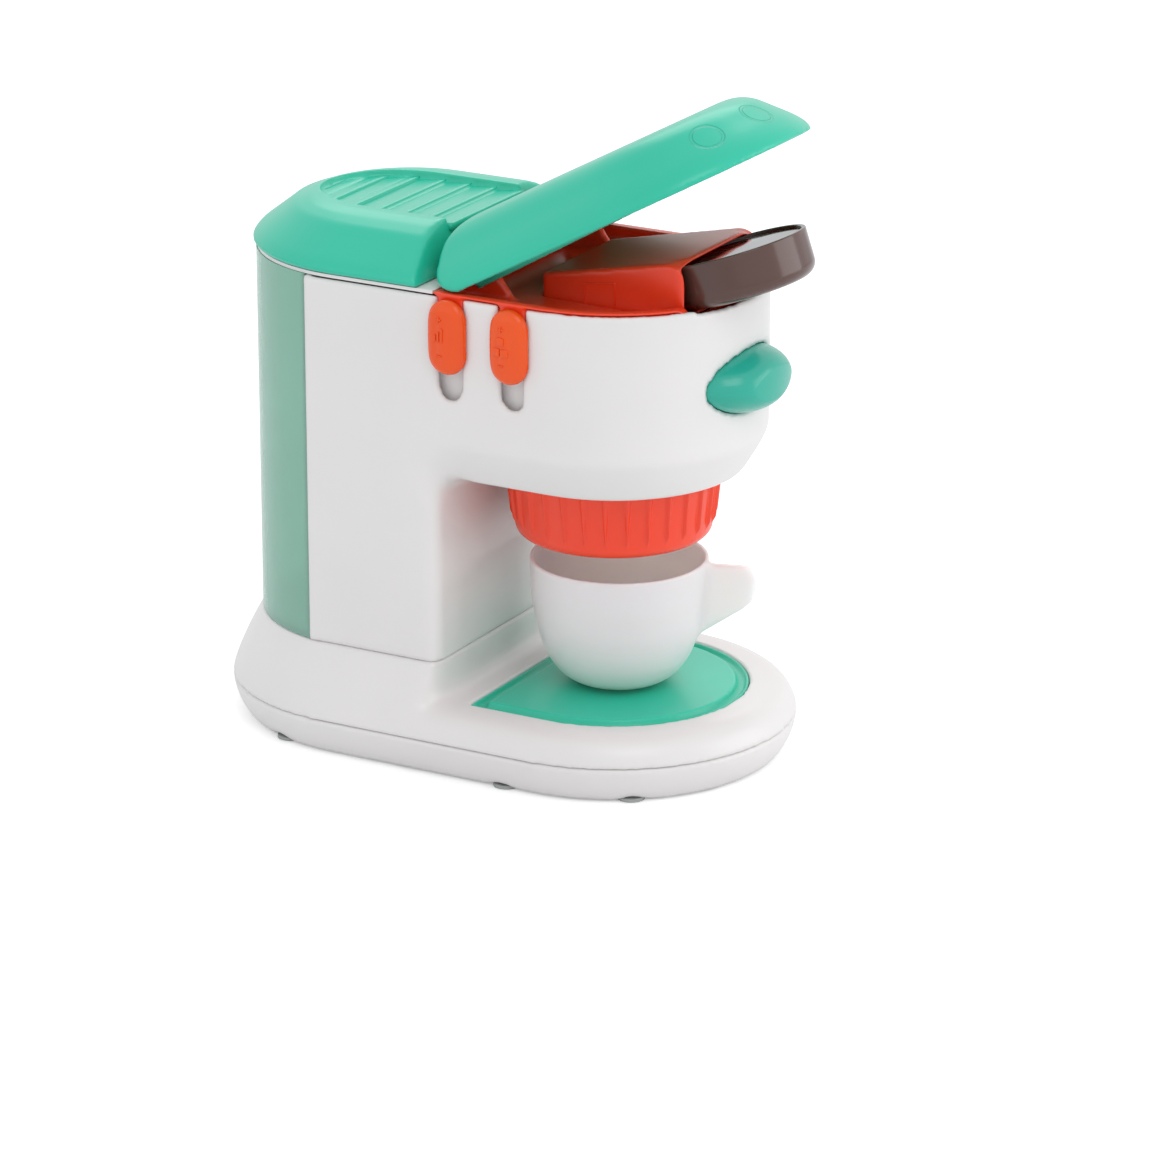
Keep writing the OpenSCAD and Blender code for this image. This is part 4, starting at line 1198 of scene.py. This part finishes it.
@dataclass
class Controls:
    """The two pillow-shaped slider knobs with raised signs, and the push button.

    Attributes:
        flank: distance of the flank from the middle plane.
        knob_z: height of the knobs' middle.
        knob_w: width of a knob.
        knob_h: height of a knob.
        knob_y: places of the two knobs.
        knob_round: how far a knob's edge is drawn in on the way out.
        button_z: height of the button's middle.
        button_half: half width of the button.
        button_rise: half height of the button.
        button_out: how far it stands out.
        button_side_in: how far its outline shrinks across on the way out.
        button_edge_in: how far it shrinks in height.
        button_back: place of its hidden rear face.
        button_crown: how far its middle stands proud of its last ring.
        bow: share of a true arc in the button's side.
        chord: share of that arc's chord.
        bend: power that draws the oval's ends to soft points.
        sign_bend: power that squares the signs' outlines.
    """

    flank: float = 55.0
    knob_z: float = 161.9
    knob_w: float = 15.0
    knob_h: float = 27.0
    knob_y: tuple[float, float] = (-6.6, -31.3)
    knob_round: float = 5.0
    button_z: float = 145.4
    button_half: float = 23.4
    button_rise: float = 11.4
    button_out: float = 9.8
    button_side_in: float = 9.3
    button_edge_in: float = 5.4
    button_back: float = -86.0
    button_crown: float = 0.4
    bow: float = 0.58
    chord: float = 0.42
    bend: float = 1.06
    sign_bend: float = 0.4

    def behind_cap(self, p: Array) -> Array:
        """Presses the knob's own block flat, so that only its stem, carriage and foot stay.

        Args:
            p: the points.

        Returns:
            The moved points.
        """
        out = p.copy()
        out[:, 0] = np.maximum(out[:, 0], -self.flank - 1.2)
        return out

    def cap_grid(self, knob: float) -> Array:
        """Works out a knob's cap: rings of a pill outline that shrink by 1 - cos f and move out by sin f.

        Args:
            knob: the knob's place.

        Returns:
            A grid of rings, from the foot to the middle of the face, which is a little domed.
        """
        a = np.arange(96) * 2 * np.pi / 96
        f = np.radians(np.linspace(0, 90, 16))[:, None]
        share = np.linspace(1, 0.02, 26)[1:, None]
        foot, rise, face, crown = 0.6, 3.2, 3.8, 0.6
        shrink = np.concatenate([[[0.2]], self.knob_round * (1 - np.cos(f)) ** 1.1])
        r = np.concatenate([self.knob_w / 2 - shrink, (self.knob_w / 2 - self.knob_round) * share])
        straight = (self.knob_h - self.knob_w) / 2 * np.concatenate([np.ones((17, 1)), share])
        out = np.concatenate([[[0.0]], foot + rise * np.sin(f), face + crown * (1 - share**2)])
        y = knob + r * np.cos(a)
        z = self.knob_z + r * np.sin(a) + straight * np.tanh(4 * np.sin(a)) / np.tanh(4)
        x = -self.flank - 0.35 - out + 0 * a
        return np.stack([x, y, z], -1)

    def sign(
        self, name: str, face: Array, knob: float, at: tuple[float, float], half: tuple[float, float]
    ) -> bpy.types.Mesh:
        """Makes one raised bar or square that follows the knob's face.

        Its outline is a superellipse, and each row of the grid is that outline drawn in a little more
        and set a little further out.

        Args:
            name: the mesh's name.
            face: the knob's points.
            knob: the knob's place.
            at: the sign's place from the knob's middle, back and up.
            half: its half width and half height.

        Returns:
            A closed mesh.
        """
        a = np.arange(32) * 2 * np.pi / 32
        inset = np.array([0.0, 0.0, 0.06, 0.18])
        out = np.array([-0.5, 0.25, 0.44, 0.5])
        y = knob + at[0] + (half[0] - inset)[:, None] * bent(np.cos(a), self.sign_bend)
        z = self.knob_z + at[1] + (half[1] - inset)[:, None] * bent(np.sin(a), self.sign_bend)
        gap = (face[:, 1] - y[..., None]) ** 2 + (face[:, 2] - z[..., None]) ** 2
        x = face[gap.argmin(-1), 0] - out[:, None]
        return grid_mesh(name, np.stack([x, y, z], -1))

    def button(self) -> bpy.types.Mesh:
        """Makes the button: rings of an oval that shrink by 1 - cos f while they move out by sin f.

        The rings lie on cylinders about the head's axis, and past f = 90 degrees they close on the
        crown, which stands a little proud.

        Returns:
            A closed mesh.
        """
        a = np.arange(128) * 2 * np.pi / 128
        cos_a, sin_a = bent(np.cos(a), self.bend), bent(np.sin(a), self.bend)
        f = np.radians(np.linspace(0, 90, 26))[:, None]
        share = np.linspace(1, 0.01, 14)[1:, None]
        turn = f / np.radians(90)

        def lean(value: Array) -> Array:
            """Draws an arc nearly half-way to its chord."""
            return self.bow * value + self.chord * turn

        drawn = lean(1 - np.cos(f))
        side_in, edge_in = self.button_side_in, self.button_edge_in
        wide = np.concatenate([self.button_half - side_in * drawn, (self.button_half - side_in) * share])
        high = np.concatenate([self.button_rise - edge_in * drawn, (self.button_rise - edge_in) * share])
        crown = self.button_out + self.button_crown * (1 - share**2)
        away = np.concatenate([self.button_out * lean(np.sin(f)), crown])
        x, z = wide * cos_a, self.button_z + high * sin_a
        y = FRONT_AXIS_Y - np.sqrt((self.flank + away) ** 2 - x**2)
        back = np.stack([x[0], np.full(len(a), self.button_back), z[0]], -1)[None]
        return grid_mesh("button_cap", np.concatenate([back, np.stack([x, y, z], -1)]))

    def build(self, frame: Frame) -> None:
        """Builds the knobs, their signs and the button.

        Args:
            frame: the CAD frame.
        """
        for (node, marks), place in zip(KNOB_SIGNS.items(), self.knob_y):
            MouldedCopy(node, 0.45, (EVEN_OUT, Softening(3)), self.behind_cap).build(frame)
            cap = self.cap_grid(place)
            frame.add(f"{node}_cap", grid_mesh(f"{node}_cap", cap), node, False)
            for k, (at, half) in enumerate(marks):
                name = f"{node}_sign_{k}"
                frame.add(name, self.sign(name, cap.reshape(-1, 3), place, at, half), node, False)
        frame.add("button_cap", self.button(), "front_button", True)


@dataclass
class Outlet:
    """The fluted orange collar under the head.

    Attributes:
        top_z: height of its top edge.
        height: its height.
        low_r: its radius at the foot.
        top_r: its radius at the top.
        flutes: how many ridges it has.
        wall: thickness of its wall.
        foot_round: radius of its lower outer edge.
        bore_r: radius of the hole that turns on the nozzle.
        hub_r: outer radius of the hub round that hole.
        web: thickness of the web from the hub to the wall.
        ridge_out: how far a ridge stands out.
    """

    top_z: float = 106.2
    height: float = 25.4
    low_r: float = 35.4
    top_r: float = 38.2
    flutes: int = 30
    wall: float = 2.4
    foot_round: float = 4.0
    bore_r: float = 9.1
    hub_r: float = 12.1
    web: float = 2.4
    ridge_out: float = 1.25

    def collar(self) -> bpy.types.Mesh:
        """Makes the collar: a closed outline carried round the axis, with ridges on its outside.

        A ridge is a raised cosine across the side. It is 1.85 mm to each side at the top, narrows to
        0.55 mm below, and fades in over the lowest few millimetres.

        Returns:
            A closed mesh.
        """
        low, high, b, tip = self.low_r, self.top_r, self.foot_round, 0.5
        inner, hub_top, steps, turns = low - self.wall, self.height - 0.2, 40, 720
        toe, toe_z = 3, 5.4
        side = np.stack([np.linspace(low, high - tip, steps), np.linspace(b, self.height - tip, steps)], -1)
        outline = np.concatenate(
            [
                line((self.bore_r, 0), (low - b, 0), 10),
                arc((low - b, b), b, -90, 0, 10)[:-1],
                side,
                arc((high - tip - tip, self.height - tip), tip, 20, 90, 5),
                line((high - self.wall, self.height), (inner, toe_z), 16),
                line((inner, toe_z), (inner - toe, self.web), 5),
                line((inner - toe, self.web), (self.hub_r, self.web), 8),
                line((self.hub_r, self.web), (self.hub_r, hub_top), 6),
                line((self.hub_r, hub_top), (self.bore_r, hub_top), 2),
                line((self.bore_r, hub_top), (self.bore_r, 0.2), 6),
            ]
        )
        grid = revolve(outline, turns)
        up = outline[:, 1]
        on_side = np.zeros(len(outline))
        first = 10 + 9  # after the underside's points and the foot's
        on_side[first : first + steps + 3] = 1
        a = np.arange(turns) * 2 * np.pi / turns
        turn = np.mod(a * self.flutes / (2 * np.pi) + 0.5, 1) - 0.5
        across = np.abs(turn) * 2 * np.pi * low / self.flutes
        wide = 0.55 + 1.3 * smooth_step(up, 5, self.height)[:, None]
        ridge = 0.5 + 0.5 * np.cos(np.pi * np.clip(across[None] / wide, 0, 1))
        rise = self.ridge_out * (on_side * smooth_step(up, 4, 8))[:, None] * ridge
        grid[..., 0] += rise * np.cos(a)
        grid[..., 1] += rise * np.sin(a)
        grid += np.array([0, FRONT_AXIS_Y, self.top_z - self.height])
        return grid_mesh("fluted_collar", grid, round_rows=True)

    def build(self, frame: Frame) -> None:
        """Builds the collar."""
        frame.add("fluted_collar", self.collar(), "brew_collar", True)


@dataclass
class Cup:
    """The cup with its tab handle.

    Attributes:
        foot_z: height of its foot.
        rim_z: height of its rim.
    """

    foot_z: float = 24.5
    rim_z: float = 71.9

    def soft(self, p: Array) -> Array:
        """Softens the bowl, and its foot and rim less."""
        low = smooth_step(p[:, 2], self.foot_z + 0.6, self.foot_z + 3)
        return 0.1 + 0.9 * low * smooth_step(p[:, 2], self.rim_z - 0.8, self.rim_z - 3)

    def build(self, frame: Frame) -> None:
        """Builds the cup."""
        MouldedCopy("cup", 0.6, (EVEN_OUT, Softening(40, self.soft), Softening(4))).build(frame)


# ------------------------------------------------------------------ studio


@dataclass
class Studio:
    """Floor, lamps, world and camera.

    Attributes:
        azimuth: the camera's turn about Z, in degrees.
        elevation: how far the camera looks down, in degrees.
        focal_px: focal length in pixels of the whole picture.
        place: the camera's place in millimetres.
        sensor: width of its sensor in millimetres.
        room: strength of the room's pale light.
        floor_glow: what the floor gives off towards the camera, so that it reads as white.
        floor_side: half the floor's width, in metres.
        aim_z: height that the lamps face.
    """

    azimuth: float = -60.97
    elevation: float = 19.24
    focal_px: float = 5474.5
    place: tuple[float, float, float] = (-1627.068, -930.784, 708.991)
    sensor: float = 36.0
    room: float = 0.86
    floor_glow: float = 0.31
    floor_side: float = 12.0
    aim_z: float = 100.0

    def camera(self) -> None:
        """Makes the camera from its bearing and focal length."""
        a, e = math.radians(self.azimuth), math.radians(self.elevation)
        right = Vector((math.cos(a), math.sin(a), 0))
        ahead = Vector((-math.sin(a) * math.cos(e), math.cos(a) * math.cos(e), -math.sin(e)))
        up = Vector((-math.sin(a) * math.sin(e), math.cos(a) * math.sin(e), math.cos(e)))
        data = bpy.data.cameras.new("camera")
        data.sensor_width = self.sensor
        data.lens = self.focal_px / IMAGE_PX * self.sensor
        data.clip_start, data.clip_end = 0.05, 20
        cam = bpy.data.objects.new("camera", data)
        turn = Matrix((right, up, -ahead)).transposed().to_4x4()
        cam.matrix_world = Matrix.Translation(Vector(self.place) * MM) @ turn
        bpy.context.scene.collection.objects.link(cam)
        bpy.context.scene.camera = cam

    def lamp(self, name: str, at: Sequence[float], size: float, power: float) -> None:
        """Adds a soft square white lamp that faces the object.

        Args:
            name: the lamp's name.
            at: its place, in millimetres.
            size: its side, in millimetres.
            power: its power in watts.
        """
        data = bpy.data.lights.new(name, "AREA")
        data.size = size * MM
        data.energy = power
        lamp = bpy.data.objects.new(name, data)
        lamp.location = Vector(at) * MM
        aim = Vector((0, 0, self.aim_z)) * MM
        lamp.rotation_euler = (aim - lamp.location).to_track_quat("-Z", "Y").to_euler()
        bpy.context.scene.collection.objects.link(lamp)

    def floor(self) -> None:
        """Adds a wide pale floor that fades to white for the camera and keeps the object's shadow."""
        side = self.floor_side
        mesh = bpy.data.meshes.new("floor")
        corners = [(-side, -side, 0), (side, -side, 0), (side, side, 0), (-side, side, 0)]
        mesh.from_pydata(corners, [], [(0, 1, 2, 3)])
        obj = bpy.data.objects.new("floor", mesh)
        obj.location.z = -0.2 * MM  # just under the foot, so that they share no plane
        bpy.context.scene.collection.objects.link(obj)
        mat = blank_material("pale_sweep")
        tree = mat.node_tree
        path = add_node(tree, "LightPath", {})
        paint = add_node(tree, "BsdfDiffuse", {"Color": linear("#F7F7F7")})
        glow = add_node(tree, "Emission", {"Color": (1, 1, 1, 1), "Strength": self.floor_glow})
        lit = add_node(tree, "AddShader", {0: paint.outputs[0], 1: glow.outputs[0]})
        direct = path.outputs["Is Camera Ray"]
        seen = add_node(tree, "MixShader", {0: direct, 1: paint.outputs[0], 2: lit.outputs[0]})
        add_node(tree, "OutputMaterial", {"Surface": seen.outputs[0]})
        mesh.materials.append(mat)

    def world(self) -> None:
        """Fills the room with pale light; the camera, reflections and clear parts see plain white."""
        world = bpy.data.worlds.new("room")
        world.use_nodes = True
        tree = world.node_tree
        tree.nodes.clear()
        path = add_node(tree, "LightPath", {})
        room = add_node(tree, "Background", {"Color": linear("#F4F6F8"), "Strength": self.room})
        shown = add_node(tree, "Background", {"Color": (1, 1, 1, 1), "Strength": 1.0})
        direct = path.outputs["Is Camera Ray"]
        for kind in ("Is Glossy Ray", "Is Transmission Ray"):
            either = add_node(tree, "Math", {0: direct, 1: path.outputs[kind]}, operation="MAXIMUM")
            direct = either.outputs[0]
        mix = add_node(tree, "MixShader", {0: direct, 1: room.outputs[0], 2: shown.outputs[0]})
        add_node(tree, "OutputWorld", {"Surface": mix.outputs[0]})
        bpy.context.scene.world = world

    def build(self) -> None:
        """Builds the whole studio."""
        bpy.context.scene.view_settings.view_transform = "Standard"
        self.camera()
        self.floor()
        self.world()
        self.lamp("key", (-900, -900, 1500), 900, 4.6)
        self.lamp("fill", (-1400, 700, 700), 1200, 0.8)
        self.lamp("rim", (1000, 600, 1200), 900, 4)
        self.lamp("front", (600, -1500, 500), 1200, 6.8)
        LOG.info("studio ready")


def main() -> None:
    """Builds the looks in order."""
    logging.basicConfig(level=logging.INFO, format="%(message)s")
    frame = Frame.read(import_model())
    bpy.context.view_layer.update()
    Studio().build()
    frame.dress()
    for assembly in (Base(), Body(), Lid(), PodSlot(), Controls(), Outlet(), Cup()):
        assembly.build(frame)


if __name__ == "__main__":
    main()
